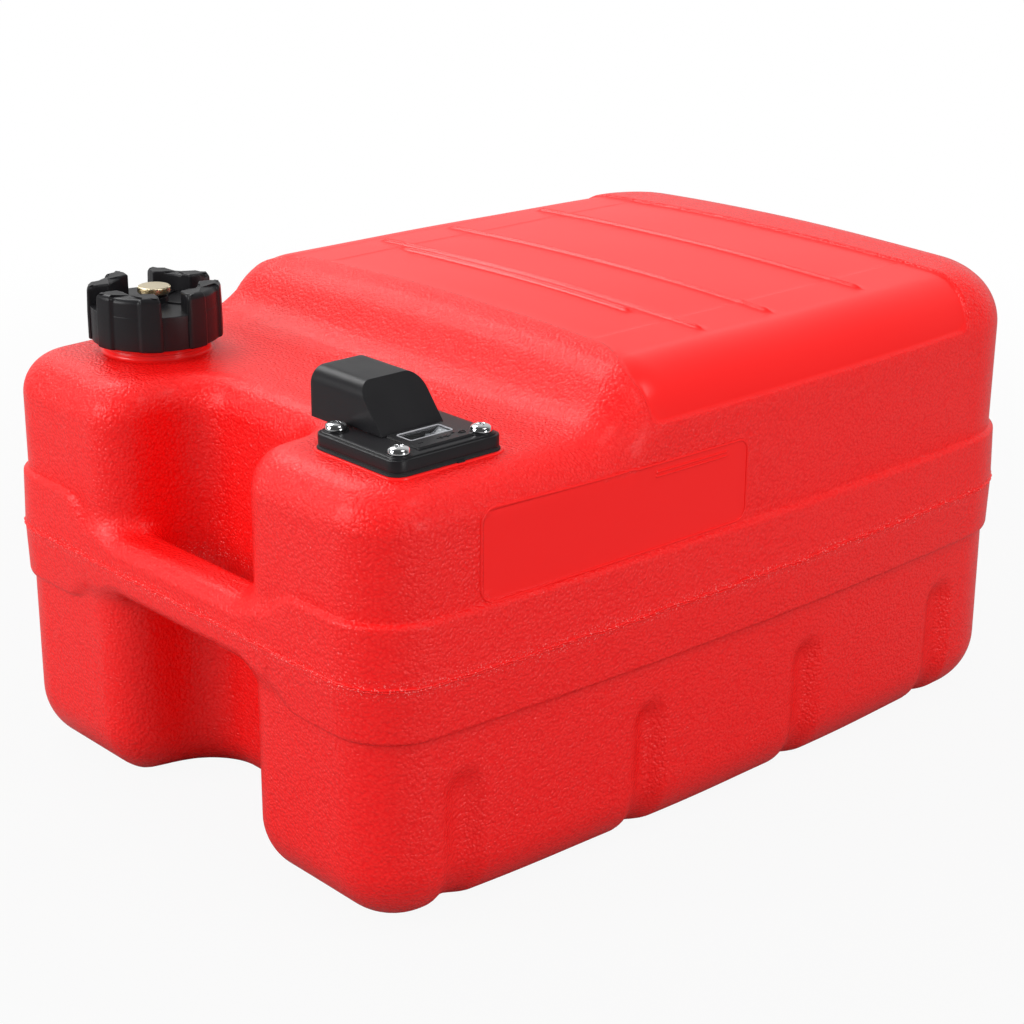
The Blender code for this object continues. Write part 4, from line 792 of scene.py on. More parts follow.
    def make_shell(self) -> list[Object]:
        """Body without its grip: the cage, settled on the plain body and then on its details.

        Quads under the filler neck are left out, so that its bore is open. The halves part at the seam.

        Returns:
            The upper half and the lower half.
        """
        points, quads = self.cage()
        points = settle(points, self.form.plain, rounds=18)
        points = settle(points, self.under_grip, rounds=10, reach=0.0015)
        away = points[:, :2] - np.array(self.neck_place)
        reach = np.hypot(*away.T)
        bored = (reach < self.neck_cut) & (points[:, 2] > self.shelf)
        quads = quads[~bored[quads].all(axis=1)]
        points[bored, :2] += (away * (self.neck_edge / np.maximum(reach, 1e-6) - 1)[:, None])[bored]
        above = points[quads][:, :, 2].mean(axis=1) > self.grip.middle
        halves = []
        for name, part in (("tank_shell_upper", quads[above]), ("tank_shell_lower", quads[~above])):
            used, index = np.unique(part, return_inverse=True)
            half = Weave().loose(points[used], index.reshape(part.shape)).build(name, sharp=75)
            halves.append(self.mark_panel(half))
        return halves

    def under_grip(self, points: Array) -> Array:
        """Form of the shell: the body with the grip's root, sunk a little where the grip covers it.

        Args:
            points: Places in the CAD frame, by three.

        Returns:
            One inside distance a point.
        """
        root, cover, fade, sunk = 0.070, (-0.0165, -0.0125), (0.0735, 0.0785), 0.0009
        x = np.abs(points[:, 0])
        bar = self.grip.bar(points, self.form)
        body = np.where(x > root, self.grip.inside(points, self.form), self.form.inside(points))
        return body - sunk * smooth_step(bar, *cover) * (1 - smooth_step(x, *fade))

    def mark(self, piece: Object, share: Array | float) -> Object:
        """Stores how free of grain a piece is, for its finish: one value for all, or one a point.

        Args:
            piece: The piece.
            share: Zero for full grain, one for none.

        Returns:
            The same piece.
        """
        store = piece.data.attributes.new("panel", "FLOAT", "POINT")
        values = np.broadcast_to(share, len(piece.data.vertices)).astype(np.float32)
        store.data.foreach_set("value", values)
        return piece

    def mark_panel(self, piece: Object) -> Object:
        """Stores the share of smooth panel or side plate on each point.

        Args:
            piece: The piece.

        Returns:
            The same piece.
        """
        place = np.empty(len(piece.data.vertices) * 3, dtype=np.float32)
        piece.data.vertices.foreach_get("co", place)
        x, y, z = place.reshape(-1, 3).astype(float).T
        back = y + self.form.length / 2
        return self.mark(piece, np.maximum(self.form.panel(x, back, z), self.form.plate_field(x, back, z)))

    def make_grip(self) -> Object:
        """Grip: its section carried across the notch, with roots that spread over both lobes.

        Rows start on the bar and then grow outwards over the lobe. All are settled on the joint form,
        and the last ones end below the surface.

        Returns:
            The new piece.
        """
        form, grip = self.form, self.grip
        section = eased_outline(round_box_outline(grip.depth, grip.height, grip.edge, 12), 180, 0.0004)
        section[:, 0] += grip.depth / 2
        outward = outline_normals(section)
        section[:, 1] += grip.middle
        rows = [np.column_stack([np.full(len(section), place), section])
                for place in np.linspace(0, self.bar_end, 12)]
        rim, rim_start = form.notch_mouth, 0.0277
        for share in np.linspace(0.0, 1.0, 26)[1:]:
            grown = section + outward * (self.root_growth * share ** 1.6)
            into = np.clip((rim_start - grown[:, 0]) / rim, 0, 1)
            wall = form.notch_half + rim * (1 - np.sqrt(np.maximum(1 - into ** 2, 0)))
            reach = wall + self.root_lap - self.bar_end
            rows.append(np.column_stack([self.bar_end + reach * np.sin(share * math.pi / 2), grown]))
        right = np.stack(rows)
        right[:, :, 1] -= form.length / 2
        right = settle(right, lambda p: grip.inside(p, form) + 0.00006, rounds=16, reach=0.006)
        sunk = settle(right[-1], lambda p: grip.inside(p, form) - 0.0008, rounds=6, reach=0.002)
        right = np.concatenate([right, sunk[None]])
        left = right[::-1] * np.array([-1.0, 1.0, 1.0])
        weave = Weave().grid(np.concatenate([left[:-1], right]), wrap_columns=True)
        return self.mark_panel(weave.build("tank_grip", sharp=75))

    def make_neck(self) -> Object:
        """Filler neck: bore, wall and foot, turned about its axis, and a thread wound round it.

        The foot is a quarter ellipse. The thread is a helix of two turns whose low ridge fades at
        both ends.

        Returns:
            The new piece.
        """
        edge, outer = self.neck_edge, self.neck_radius
        corners = [(self.neck_bore, self.neck_base), (self.neck_bore, self.neck_top), (outer, self.neck_top),
                   (outer, 0.2336), (edge, 0.2331)]
        flare = np.linspace(0, math.pi / 2, 7)
        foot = np.stack([0.0308 - 0.0018 * np.cos(flare), 0.2322 - 0.0022 * np.sin(flare)], axis=1)
        profile = np.vstack([soft_profile(corners, 0.0006), foot,
                             [(self.neck_foot, 0.2270), (self.neck_foot, self.neck_base)]])
        weave = Weave().grid(revolved(profile, 144, self.neck_place), wrap_rows=True, wrap_columns=True)
        turn = np.linspace(0, 4 * math.pi, 241)
        rise = self.thread_rise * smooth_step(np.minimum(turn, turn[-1] - turn), 0, 0.5)
        height = self.thread_top - self.thread_pitch * turn / (2 * math.pi)
        section = ((0.0, 0.0011), (0.85, 0.0005), (1.0, 0.0), (0.85, -0.0005), (0.0, -0.0011), (-0.5, 0.0))
        rows = [level(polar(self.thread_radius + out * rise, turn) + self.neck_place, height + up)
                for out, up in section]
        weave.grid(np.stack(rows), wrap_rows=True)
        return self.mark(weave.build("tank_neck"), 1.0)

    def ridge(self, path: Array, width: float, height: Array, closed: bool = True,
              offset: float = 0.0) -> Array:
        """Low ridge along a path that is first settled on the surface of body and grip.

        Each row is a half ellipse across the path. Its up is the surface's outward normal, and its
        height is given a row.

        Args:
            path: Points near the surface.
            width: Width of the ridge.
            height: Height at each point.
            closed: Whether the path is a loop.
            offset: How far the ridge lies beside its path.

        Returns:
            Grid of path points by profile points by three.
        """
        def joint(points: Array) -> Array:
            """Inside distance of body and grip."""
            return self.grip.inside(points, self.form)

        line = settle(path, joint, rounds=10, reach=0.004)
        up = -gradient(line, joint)
        up /= np.linalg.norm(up, axis=1, keepdims=True)
        ahead = np.roll(line, -1, axis=0) - np.roll(line, 1, axis=0)
        if not closed:
            ahead[0], ahead[-1] = ahead[1], ahead[-2]
        side = np.cross(ahead, up)
        side /= np.linalg.norm(side, axis=1, keepdims=True)
        foot = 0.0004
        profile = half_round(width)
        across = (profile[:, 0] + offset)[None, :, None] * side[:, None, :]
        rise = np.where(profile[:, 1] > 0, profile[:, 1], 0.0)[None, :] * height[:, None]
        rise[:, -2:] = -foot
        return line[:, None, :] + across + rise[:, :, None] * up[:, None, :]

    def make_seam(self) -> Object:
        """Flash of the moulding seam: two uneven ridges round body and grip, with a crease between them.

        Both ridges wander up and down and change in height, as sums of sine waves along the seam.

        Returns:
            The new piece.
        """
        form, steps, width = self.form, 1800, 0.0011
        plan = eased_outline(round_box_outline(form.width, form.length, form.front_corner, 24), steps, 0.002)
        turn = turn_angles(steps)
        wander = (0.00022 * np.sin(23 * turn + 1.1) + 0.00016 * np.sin(57 * turn)
                  + 0.00010 * np.sin(231 * turn))
        path = level(plan, form.seam + wander)
        weave = Weave()
        for offset, phase, height in ((-0.00056, 0.0, 0.00095), (0.00058, 1.9, 0.00085)):
            uneven = (0.66 + 0.2 * np.sin(41 * turn + phase) * np.sin(13 * turn + 0.7)
                      + 0.2 * np.sin(191 * turn + 2 * phase))
            ridge = self.ridge(path, width, height * uneven, offset=offset)
            weave.grid(ridge, wrap_rows=True, wrap_columns=True)
        return self.mark(weave.build("tank_seam", sharp=80), 0.3)

    def side_point(self, back: Array, height: Array) -> Array:
        """Points just outside the +X side."""
        outside = np.full(len(back), self.form.width / 2 + 0.002)
        return np.column_stack([outside, back - self.form.length / 2, height])

    def make_side_lines(self) -> Object:
        """Raised border of the bare side plate, and the two fill lines in it.

        Returns:
            The new piece.
        """
        front, rear, low, high = self.form.plate
        rise = 0.00060
        corner = round_box_outline(rear - front, high - low, self.form.plate_corner, 10)
        border = eased_outline(corner + np.array([(front + rear) / 2, (low + high) / 2]), 620, 0.0006)
        path = self.side_point(border[:, 0], border[:, 1])
        ridge = self.ridge(path, 0.0013, np.full(len(path), rise))
        weave = Weave().grid(ridge, wrap_rows=True, wrap_columns=True)
        for height in self.fill_heights:
            back = np.linspace(*self.fill_reach, 70)
            fade = smooth_step(np.minimum(back - back[0], back[-1] - back), 0, 0.0008)
            path = self.side_point(back, np.full(len(back), height))
            weave.grid(self.ridge(path, 0.0012, rise * fade, closed=False), wrap_columns=True)
        return self.mark(weave.build("tank_side_lines", sharp=80), 1.0)

    def make_pad(self) -> Object:
        """Low raised pad on the deck, a little wider than the head's gasket.

        Returns:
            The new piece.
        """
        rows = []
        for inset, height in ((0.0030, 0.2296), (-0.0001, 0.2296), (0.0, 0.2303), (0.00015, 0.2306),
                              (0.0005, 0.2307), (0.0030, 0.2307)):
            width, depth = (size - 2 * inset for size in self.pad_size)
            plan = round_box_outline(width, depth, self.pad_corner - inset, 12) + np.array(self.pad_nudge)
            rows.append(level(plan + self.head_place, height))
        weave = Weave().grid(np.stack(rows), wrap_rows=True, wrap_columns=True)
        return self.mark(weave.build("tank_pad", sharp=60), 1.0)


@dataclass
class FillerCap:
    """Filler cap: a drum whose wall rises into four lobed blocks with slots between them."""

    place: tuple[float, float] = (-0.112, -0.1777)
    turn: float = math.radians(-15)
    radius: float = 0.0366
    relief: float = 0.0015
    rim: float = 0.2370
    floor: float = 0.2560
    under: float = 0.2506
    top: float = 0.2669
    saddle: float = 0.0011
    well: float = 0.0240
    skirt: float = 0.0325
    slot_half: float = 0.0071
    slot_degrees: tuple[float, float] = (11.0, 3.0)
    relief_degrees: tuple[float, float] = (12.5, 2.4)
    saddle_degrees: tuple[float, float] = (24.0, 32.0)
    ledge: float = 0.0015
    outer_edge: float = 0.0033
    inner_edge: float = 0.0012
    boss: float = 0.0075
    boss_top: float = 0.2596
    bore: float = 0.0032

    def from_slot(self, angle: Array) -> Array:
        """Angle from the middle of the nearest slot, up to an eighth of a turn."""
        pitch = math.pi / 2
        return np.abs((angle - self.turn + pitch / 2) % pitch - pitch / 2)

    def lobe(self, angle: Array) -> Array:
        """One on the lobes, zero in the slots and in the relief half way between them.

        Args:
            angle: Angles about the cap's axis.

        Returns:
            One share an angle.
        """
        (slot_start, slot_rise), (relief_start, relief_rise) = (
            [math.radians(value) for value in pair] for pair in (self.slot_degrees, self.relief_degrees))
        slot = (self.from_slot(angle) - slot_start) / slot_rise
        relief = (math.pi / 4 - self.from_slot(angle) - relief_start) / relief_rise
        return np.sin(math.pi / 2 * np.clip(np.minimum(slot, relief), 0, 1))

    def saddle_share(self, angle: Array) -> Array:
        """One near the relief in the middle of a block, zero towards the slots."""
        return smooth_step(self.from_slot(angle), *(math.radians(value) for value in self.saddle_degrees))

    def make_drum(self) -> Object:
        """Drum: skirt, floor and the boss for the vent, turned about the axis, and four ribs on the floor.

        Returns:
            The new piece.
        """
        wall, rim = self.radius - self.relief - 0.00006, self.rim + 0.0001
        corners = [(self.bore, self.under), (self.skirt, self.under), (self.skirt, rim), (wall, rim),
                   (wall, self.floor), (self.boss, self.floor), (self.boss, self.boss_top),
                   (self.bore, self.boss_top)]
        profile = soft_profile(corners, 0.0005, closed=True)
        weave = Weave().grid(revolved(profile, 192, self.place), wrap_rows=True, wrap_columns=True)
        start, end, half = self.boss + 0.0005, self.well - 0.0004, 0.0008
        rib = np.array([(start, -half), (end, -half), (end, half), (start, half)])
        rows = np.array([(0.0, self.floor - 0.0005), (0.0, self.floor + 0.0006),
                         (0.0002, self.floor + 0.0008)])
        for quarter in range(4):
            angle = self.turn + math.pi / 4 + quarter * math.pi / 2
            turned = rib @ np.array([[math.cos(angle), math.sin(angle)], [-math.sin(angle), math.cos(angle)]])
            shape = upright(lambda inset: turned * (1 - inset / (5 * half)), rows, self.place)
            weave.grid(shape, wrap_columns=True)
        return weave.build("cap_drum")

    def block_outline(self, quarter: int, inner: float) -> Array:
        """Outline of one block: the lobed outer arc, two walls parallel to their slots, the inner arc.

        Corners are softened by averaging each point with its neighbours, three times over.

        Args:
            quarter: Which block, 0 to 3.
            inner: Radius of the inner arc.

        Returns:
            Closed outline about the cap's axis, points by two.
        """
        start = self.turn + quarter * math.pi / 2
        outer = self.radius - self.relief
        edge = math.asin(self.slot_half / outer)
        angle = np.linspace(start + edge, start + math.pi / 2 - edge, 121)
        arc = polar(outer + self.relief * self.lobe(angle), angle)
        near = math.asin(self.slot_half / inner)
        inside = polar(inner, np.linspace(start + math.pi / 2 - near, start + near, 61))
        share = np.linspace(0, 1, 26)[1:-1, None]
        first = arc[-1] + (inside[0] - arc[-1]) * share
        last = inside[-1] + (arc[0] - inside[-1]) * share
        loop = np.concatenate([arc, first, inside, last])
        for _ in range(3):
            loop = (np.roll(loop, 1, axis=0) + 2 * loop + np.roll(loop, -1, axis=0)) / 4
        return loop

    def make_block(self, quarter: int) -> Object:
        """One block: its outline stacked up from rim to top, with round top edges and a saddle.

        Args:
            quarter: Which block, 0 to 3.

        Returns:
            The new piece.
        """
        lower = self.block_outline(quarter, self.skirt + 0.0012)
        upper = self.block_outline(quarter, self.well)
        normal = outline_normals(upper)
        angle = np.arctan2(upper[:, 1], upper[:, 0])
        reach = np.hypot(*upper.T)
        outside = smooth_step(reach, self.well + 0.006, self.well + 0.0095)
        edge = self.inner_edge + (self.outer_edge - self.inner_edge) * outside
        sag = self.saddle * (1 - self.lobe(angle)) * self.saddle_share(angle)
        foot = ((0.0006, self.rim), (0.0001, self.rim + 0.0004), (0.0, self.rim + 0.0010),
                (0.0, self.under + self.ledge))
        rows = [level(lower - outline_normals(lower) * inset, height) for inset, height in foot]
        rows.append(level(upper, self.under + self.ledge))
        taper = 0.0004 * outside
        for turn in np.linspace(0, math.pi / 2, 9):
            inset = edge * (1 - math.cos(turn)) + taper
            rows.append(level(upper - normal * inset[:, None], self.top - sag - edge * (1 - math.sin(turn))))
        rim = rows[-1]
        centre = rim.mean(axis=0)
        rows += [rim + (centre - rim) * share for share in (0.12, 0.3, 0.5, 0.72)]
        bottom, crown = (np.broadcast_to(point, rim.shape) for point in (rows[0].mean(axis=0), centre))
        grid = np.stack([bottom, *rows, crown]) + np.array([*self.place, 0.0])
        return Weave().grid(grid, wrap_columns=True).build(f"cap_block_{quarter + 1}", sharp=60)

    def make(self) -> list[Object]:
        """All pieces of the cap, the drum first."""
        return [self.make_drum(), *(self.make_block(quarter) for quarter in range(4))]


@dataclass
class VentKnob:
    """Vent screw: a brass disc with a toothed edge on a stem."""

    place: tuple[float, float] = (-0.112, -0.1777)
    radius: float = 0.00915
    under: float = 0.2614
    top: float = 0.2652
    stem: float = 0.0028
    tail: float = 0.2464
    teeth: int = 68
    tooth: float = 0.00045

    def make(self) -> Object:
        """Turned profile whose edge rows are drawn in between the teeth by a cosine.

        Returns:
            The new piece.
        """
        radius, bevel = self.radius, 0.0007
        corners = [(0.0, self.tail), (self.stem, self.tail), (self.stem, self.under),
                   (radius - bevel, self.under), (radius, self.under + bevel), (radius, self.top - 0.0006),
                   (radius - 0.0009, self.top), (0.0, self.top)]
        profile = soft_profile(corners, 0.0002)
        angles = turn_angles(self.teeth * 8)
        edge = smooth_step(profile[:, 0], radius - bevel, radius - 0.0001)[:, None]
        valley = np.clip(0.5 - 0.9 * np.cos(self.teeth * angles), 0, 1)[None, :]
        toothed = profile[:, 0][:, None] - self.tooth * edge * valley
        grid = ring(toothed, profile[:, 1], angles, self.place)
        return Weave().grid(grid, wrap_columns=True).build("vent_knob", sharp=35)


@dataclass
class PickupHead:
    """Pickup head: gasket, plate, gauge display, hood, screws and hose fitting.

    Places in its methods are measured from the middle of the head. The nudge is how far the plate and
    the gasket lie off that middle, and the shift is how far the hood, window and fitting lie behind it.
    """

    place: tuple[float, float] = (0.1141, -0.1860)
    rays: int = 420
    seal_size: tuple[float, float] = (0.0644, 0.0690)
    seal_corner: float = 0.0076
    seal_bore: float = 0.0199
    seal_base: float = 0.2304
    seal_top: float = 0.2326
    tab_place: float = 0.0060
    tab_half: float = 0.0026
    tab_reach: float = 0.0012
    tab_top: float = 0.2316
    plate_base: float = 0.2325
    tier: float = 0.2384
    plate_top: float = 0.2392
    width: float = 0.0630
    depth: float = 0.0676
    corner: float = 0.0068
    nudge: tuple[float, float] = (0.0004, 0.0010)
    shift: float = 0.0032
    screws: tuple[float, float] = (0.0237, 0.0253)
    screw_radius: float = 0.0054
    boss_radius: float = 0.0063
    boss_top: float = 0.2397
    hood_start: float = -0.0535
    hood_end: float = 0.0013
    hood_half: float = 0.0192
    hood_top: float = 0.2624
    hood_slope: float = 0.0193
    hood_edge: float = 0.0085
    hood_wall: float = 0.0022
    scallop: float = 0.0069
    plate_end: float = -0.032
    skirt_drop: float = 0.0023
    display: tuple[float, float] = (0.0019, 0.0264)
    display_half: float = 0.01725
    display_top: float = 0.2403
    display_bevel: float = 0.0009
    window: tuple[float, float] = (0.0105, 0.0255)
    window_x: float = 0.0099
    chamber_radius: float = 0.0105
    chamber_top: float = 0.2372
    chamber_floor: float = 0.2344
    spigot: tuple[float, float, float] = (0.0192, 0.2202, 0.2340)
    marks_x: float = 0.0206
    fitting_height: float = 0.2470
    tower: tuple[float, float] = (-0.0235, -0.0100)
    spout_reach: float = 0.0500

    def put(self, points: Array) -> Array:
        """Moves points from the head's own frame to the CAD frame."""
        return points + np.array([*self.place, 0.0])

    def spot(self, right: int, rear: int) -> tuple[float, float]:
        """A screw's place in the CAD frame."""
        return (self.place[0] + self.nudge[0] + right * self.screws[0],
                self.place[1] + self.nudge[1] + rear * self.screws[1])

    def around(self, outline: Array, height: float) -> Array:
        """An outline about the window's middle, sampled along rays, at a height."""
        return level(by_angle(outline, (self.window_x, self.shift), turn_angles(self.rays)), height)

    def pole(self, height: float) -> Array:
        """A row that is all at the window's middle, to close a surface."""
        return np.broadcast_to(np.array([self.window_x, self.shift, height]), (self.rays, 3))

    def box_about_window(self, grow: float, radius: float) -> Array:
        """The window's outline, grown on all sides."""
        plan = round_box_outline(self.window[0] + 2 * grow, self.window[1] + 2 * grow, radius)
        return plan + np.array([self.window_x, self.shift])

    def make_seal(self) -> Object:
        """Gasket: a ring whose flank stands out past the plate, with a small tab on its +X side.

        Returns:
            The new piece.
        """
        rows = []
        bore = turn_angles(self.rays)
        hole = polar(self.seal_bore, bore)
        base, top = self.seal_base, self.seal_top
        for inset, height in ((0.0030, base), (0.0003, base), (0.0, 0.2307), (0.0, 0.2313), (0.0003, 0.2317),
                              (0.0009, 0.2319), (0.0010, 0.2325), (0.0022, top)):
            width, depth = (size - 2 * inset for size in self.seal_size)
            plan = round_box_outline(width, depth, self.seal_corner - inset) + np.array(self.nudge)
            dense = by_angle(plan, (0.0, 0.0), bore)
            beside = self.tab_half - np.abs(dense[:, 1] - self.tab_place)
            tab = smooth_step(beside, 0, 0.0006) * (dense[:, 0] > 0.02) * (height < self.tab_top)
            dense[:, 0] += self.tab_reach * tab
            rows.append(level(dense, height))
        rows += [level(hole, top), level(hole, base)]
        grid = self.put(np.stack(rows))
        return Weave().grid(grid, wrap_rows=True, wrap_columns=True).build("head_seal")

    def make_base(self) -> Object:
        """Plate: two tiers with eased edges, the dial's chamber, screw bosses, spigot and elbow tower.

        Returns:
            The new piece.
        """
        base, tier, top = self.plate_base, self.tier, self.plate_top
        rows = [self.pole(base)]
        for inset, height in ((0.0004, base), (0.0, base + 0.0004), (0.0, tier - 0.0006),
                              (0.00015, tier - 0.0002), (0.0006, tier), (0.0014, tier),
                              (0.00155, tier + 0.0002), (0.00165, top - 0.0002), (0.0020, top),
                              (0.0040, top)):
            plan = round_box_outline(self.width - 2 * inset, self.depth - 2 * inset, self.corner - inset)
            rows.append(self.around(plan + np.array(self.nudge), height))
        chamber = polar(self.chamber_radius, turn_angles(self.rays)) + np.array([self.window_x, self.shift])
        well = self.box_about_window(0.0002, 0.0010)
        rows += [self.around(well, height) for height in (top, self.chamber_top)]
        rows += [self.around(chamber, height) for height in (self.chamber_top, self.chamber_floor)]
        rows.append(self.pole(self.chamber_floor))
        weave = Weave().grid(self.put(np.stack(rows)), wrap_columns=True)
        foot = tier - 0.002
        boss = soft_profile([(0.0, foot), (self.boss_radius, foot), (self.boss_radius, self.boss_top),
                             (0.0, self.boss_top)], 0.0004)
        for right in (-1, 1):
            for rear in (-1, 1):
                weave.grid(revolved(boss, 72, self.spot(right, rear)), wrap_columns=True)
        radius, low, high = self.spigot
        spigot = soft_profile([(0.0, low), (radius, low), (radius, high), (0.0, high)], 0.0004)
        weave.grid(revolved(spigot, 96, self.place), wrap_columns=True)
        face, back = self.tower
        side = [(face, 0.2358), (back, 0.2358), (back, 0.2480), (back - 0.0034, 0.2514), (face, 0.2514)]
        shape = soft_profile(side, 0.0006, closed=True)
        rows = [(0.0004, -0.0080), (0.0, -0.0076), (0.0, 0.0076), (0.0004, 0.0080)]
        tower = upright(lambda inset: shape - outline_normals(shape) * inset, np.array(rows), (0.0, 0.0))
        tower = tower[..., [0, 2, 1]] + np.array([0.0, self.shift, 0.0])
        return weave.grid(self.put(tower), wrap_columns=True).build("head_base")

    def make_display(self) -> Object:
        """Raised block round the gauge window, with sloped edges and a ledge for the lens.

        Returns:
            The new piece.
        """
        start, end = self.display
        top, bevel, lens = self.display_top, self.display_bevel, 0.2388
        rows = []
        for inset, height in ((0.0, self.tier), (0.0, top - bevel), (0.00008, top - bevel + 0.00012),
                              (0.8 * bevel, top - 0.0001), (1.0 * bevel, top)):
            half = self.display_half - inset / 2
            plan = round_box_outline(end - inset - start, 2 * half, 0.0005, 3)
            rows.append(self.around(plan + np.array([(start + end - inset) / 2, self.shift]), height))
        ledge, window = self.box_about_window(0.0008, 0.0016), self.box_about_window(0.0, 0.0008)
        for outline, height in ((ledge, top), (ledge, lens), (window, lens), (window, 0.2374)):
            rows.append(self.around(outline, height))
        weave = Weave().grid(self.put(np.stack(rows)), wrap_rows=True, wrap_columns=True)
        steps = np.array([(0.0, top - 0.0004), (0.0, top + 0.00022), (0.00018, top + 0.0003)])
        for across, along, length, width in self.marks():
            mark = round_box_outline(width, length, min(width, length) * 0.48, 6)
            shape = upright(lambda inset: mark * (1 - 2 * inset / width), steps, (across, along))
            weave.grid(self.put(shape), wrap_columns=True)
        turn = turn_angles(64)
        hollow = []
        for across, along, height in ((0.0014, 0.0022, -0.0004), (0.0014, 0.0022, 0.0003),
                                      (0.0009, 0.0017, 0.0003), (0.0009, 0.0017, -0.0004)):
            oval = np.stack([self.marks_x + across * np.cos(turn), 0.0172 + along * np.sin(turn)], axis=1)
            hollow.append(level(oval, top + height))
        weave.grid(self.put(np.stack(hollow)), wrap_rows=True, wrap_columns=True)
        return weave.build("gauge_display", sharp=28)

    def marks(self) -> list[tuple[float, float, float, float]]:
        """Plain level marks beside the window: place across, place along, length and width."""
        column = self.marks_x
        return [(column, -0.0083, 0.0030, 0.0009), (column, 0.0058, 0.0084, 0.0012),
                (column, 0.0040, 0.0012, 0.0030), (column, 0.0076, 0.0012, 0.0030),
                (0.0188, 0.0128, 0.0022, 0.0010)]

    def make_frame(self) -> list[Object]:
        """Pale trim round the window, and the pale sloped end inside it.

        Returns:
            The trim and the sloped end.
        """
        low, shoulder, top = 0.2399, 0.2404, 0.2405
        section = ((0.0001, 0.0009, low), (0.0001, 0.0009, shoulder), (0.0002, 0.0010, top),
                   (0.0004, 0.0012, top), (0.0005, 0.0013, shoulder), (0.0005, 0.0013, low))
        rows = [self.around(self.box_about_window(grow, radius), height) for grow, radius, height in section]
        trim = Weave().grid(self.put(np.stack(rows)), wrap_rows=True, wrap_columns=True)
        half, far = self.window[0] / 2 - 0.0001, self.shift + self.window[1] / 2 - 0.0001
        side = np.array([(far, 0.2386), (far, 0.2364), (far - 0.0042, 0.2364)])
        rows = [np.column_stack([np.full(3, self.window_x + across), side]) for across in (-half, half)]
        ends = [np.broadcast_to(row.mean(axis=0), row.shape) for row in rows]
        end = Weave().grid(self.put(np.stack([ends[0], *rows, ends[1]])), wrap_columns=True)
        return [trim.build("gauge_trim"), end.build("gauge_end", sharp=20)]

    def make_hood(self) -> Object:
        """Hood: a tunnel along X with round top edges, closed by a sloped flat end.

        The half section is an upright side and a quarter circle. Sides end where the height meets the
        slope. The wall beside the hidden screw is drawn in by a circle about that screw. Past the
        plate's front edge the sides reach further down.

        Returns:
            The new piece.
        """
        half, top, edge = self.hood_half, self.hood_top, self.hood_edge
        low = self.plate_top + 0.0003
        rise = np.linspace(low, top - edge, 9)[:-1]
        turn = np.linspace(0, math.pi / 2, 15)
        corner = np.column_stack([half - edge + edge * np.sin(math.pi / 2 - turn),
                                  top - edge + edge * np.sin(turn)])
        side = np.concatenate([np.column_stack([np.full(8, half), rise]), corner])
        flat = np.linspace(half - edge, edge - half, 9)[1:-1]
        mirrored = side[::-1] * np.array([-1, 1])
        section = np.concatenate([side, np.column_stack([flat, np.full(7, top)]), mirrored])
        slope = self.hood_slope * (section[:, 1] - self.plate_top) / (top - self.plate_top)
        slope_end = self.hood_end - slope
        fixed = np.unique(np.concatenate([np.linspace(self.hood_start, -0.0345, 8), [-0.03205, -0.03195],
                                          np.linspace(-0.0305, -0.0181, 16)]))
        stations = [np.full(len(section), place) for place in fixed]
        stations += [fixed[-1] + (slope_end - fixed[-1]) * share for share in np.linspace(0, 1, 5)[1:]]
        rows = []
        for along in stations:
            bite = self.scallop ** 2 - (along + self.screws[0] - self.nudge[0]) ** 2
            screw = self.screws[1] + self.nudge[1] - self.shift
            limit = screw - np.sqrt(np.maximum(bite, 0)) + 1.0 * (bite <= 0)
            across = np.minimum(section[:, 0], limit)
            skirt = (along < self.plate_end) & (section[:, 1] < low + 0.0001)
            height = np.where(skirt, section[:, 1] - self.skirt_drop, section[:, 1])
            rows.append(np.column_stack([along, across + self.shift, height]))
        weave = Weave().grid(self.put(np.stack(rows)))
        face = [np.column_stack([np.full(9, place), np.linspace(across, -across, 9) + self.shift,
                                 np.full(9, height)])
                for place, (across, height) in zip(slope_end, side)]
        weave.grid(self.put(np.stack(face)))
        piece = weave.build("hood_shell", sharp=35)
        shell = piece.modifiers.new("wall", "SOLIDIFY")
        shell.thickness = self.hood_wall
        shell.offset = -1.0
        shell.use_even_offset = True
        soft = piece.modifiers.new("edges", "BEVEL")
        soft.width = 0.0006
        soft.segments = 3
        soft.limit_method = "ANGLE"
        soft.angle_limit = math.radians(38)
        return piece

    def make_screw(self, number: int, right: int, rear: int, turn: float) -> Object:
        """Pan-head screw: a domed polar grid with a cross recess pressed into it.

        Args:
            number: Number in the piece's name.
            right: -1 or 1, the side across.
            rear: -1 or 1, the side along.
            turn: Angle of the cross in radians.

        Returns:
            The screw's object.
        """
        under, rise, rim = self.boss_top + 0.0003, 0.0034, 0.0009
        arm, half, flare = 0.0026, 0.00062, 0.00012
        radius = np.concatenate([np.linspace(0, 0.0030, 31), np.linspace(0.0030, self.screw_radius, 12)[1:]])
        angles = turn_angles(144)
        grid = np.broadcast_to(radius[:, None], (len(radius), 144))
        share = np.clip(grid / self.screw_radius, 0, 1)
        dome = under + rim + (rise - rim) * np.sqrt(np.maximum(1 - share ** 2.6, 0)) ** 0.9
        x, y = grid * np.cos(angles - turn), grid * np.sin(angles - turn)
        bars = [np.minimum(half + flare * (1 - np.abs(along) / arm) - np.abs(across), arm - np.abs(along))
                for across, along in ((x, y), (y, x))]
        press = smooth_step(np.maximum(*bars), -0.00004, 0.00016)
        dome = dome - (0.0019 - 0.00075 * np.clip(grid / arm, 0, 1)) * press
        spot = self.spot(right, rear)
        skirt = np.array([(self.screw_radius, under + rim), (self.screw_radius + 0.00012, under + 0.0005),
                          (self.screw_radius, under), (0.0024, under), (0.0023, 0.2225), (0.0, 0.2220)])
        rows = [ring(grid, dome, angles, spot), ring(skirt[:, 0], skirt[:, 1], angles, spot)[1:]]
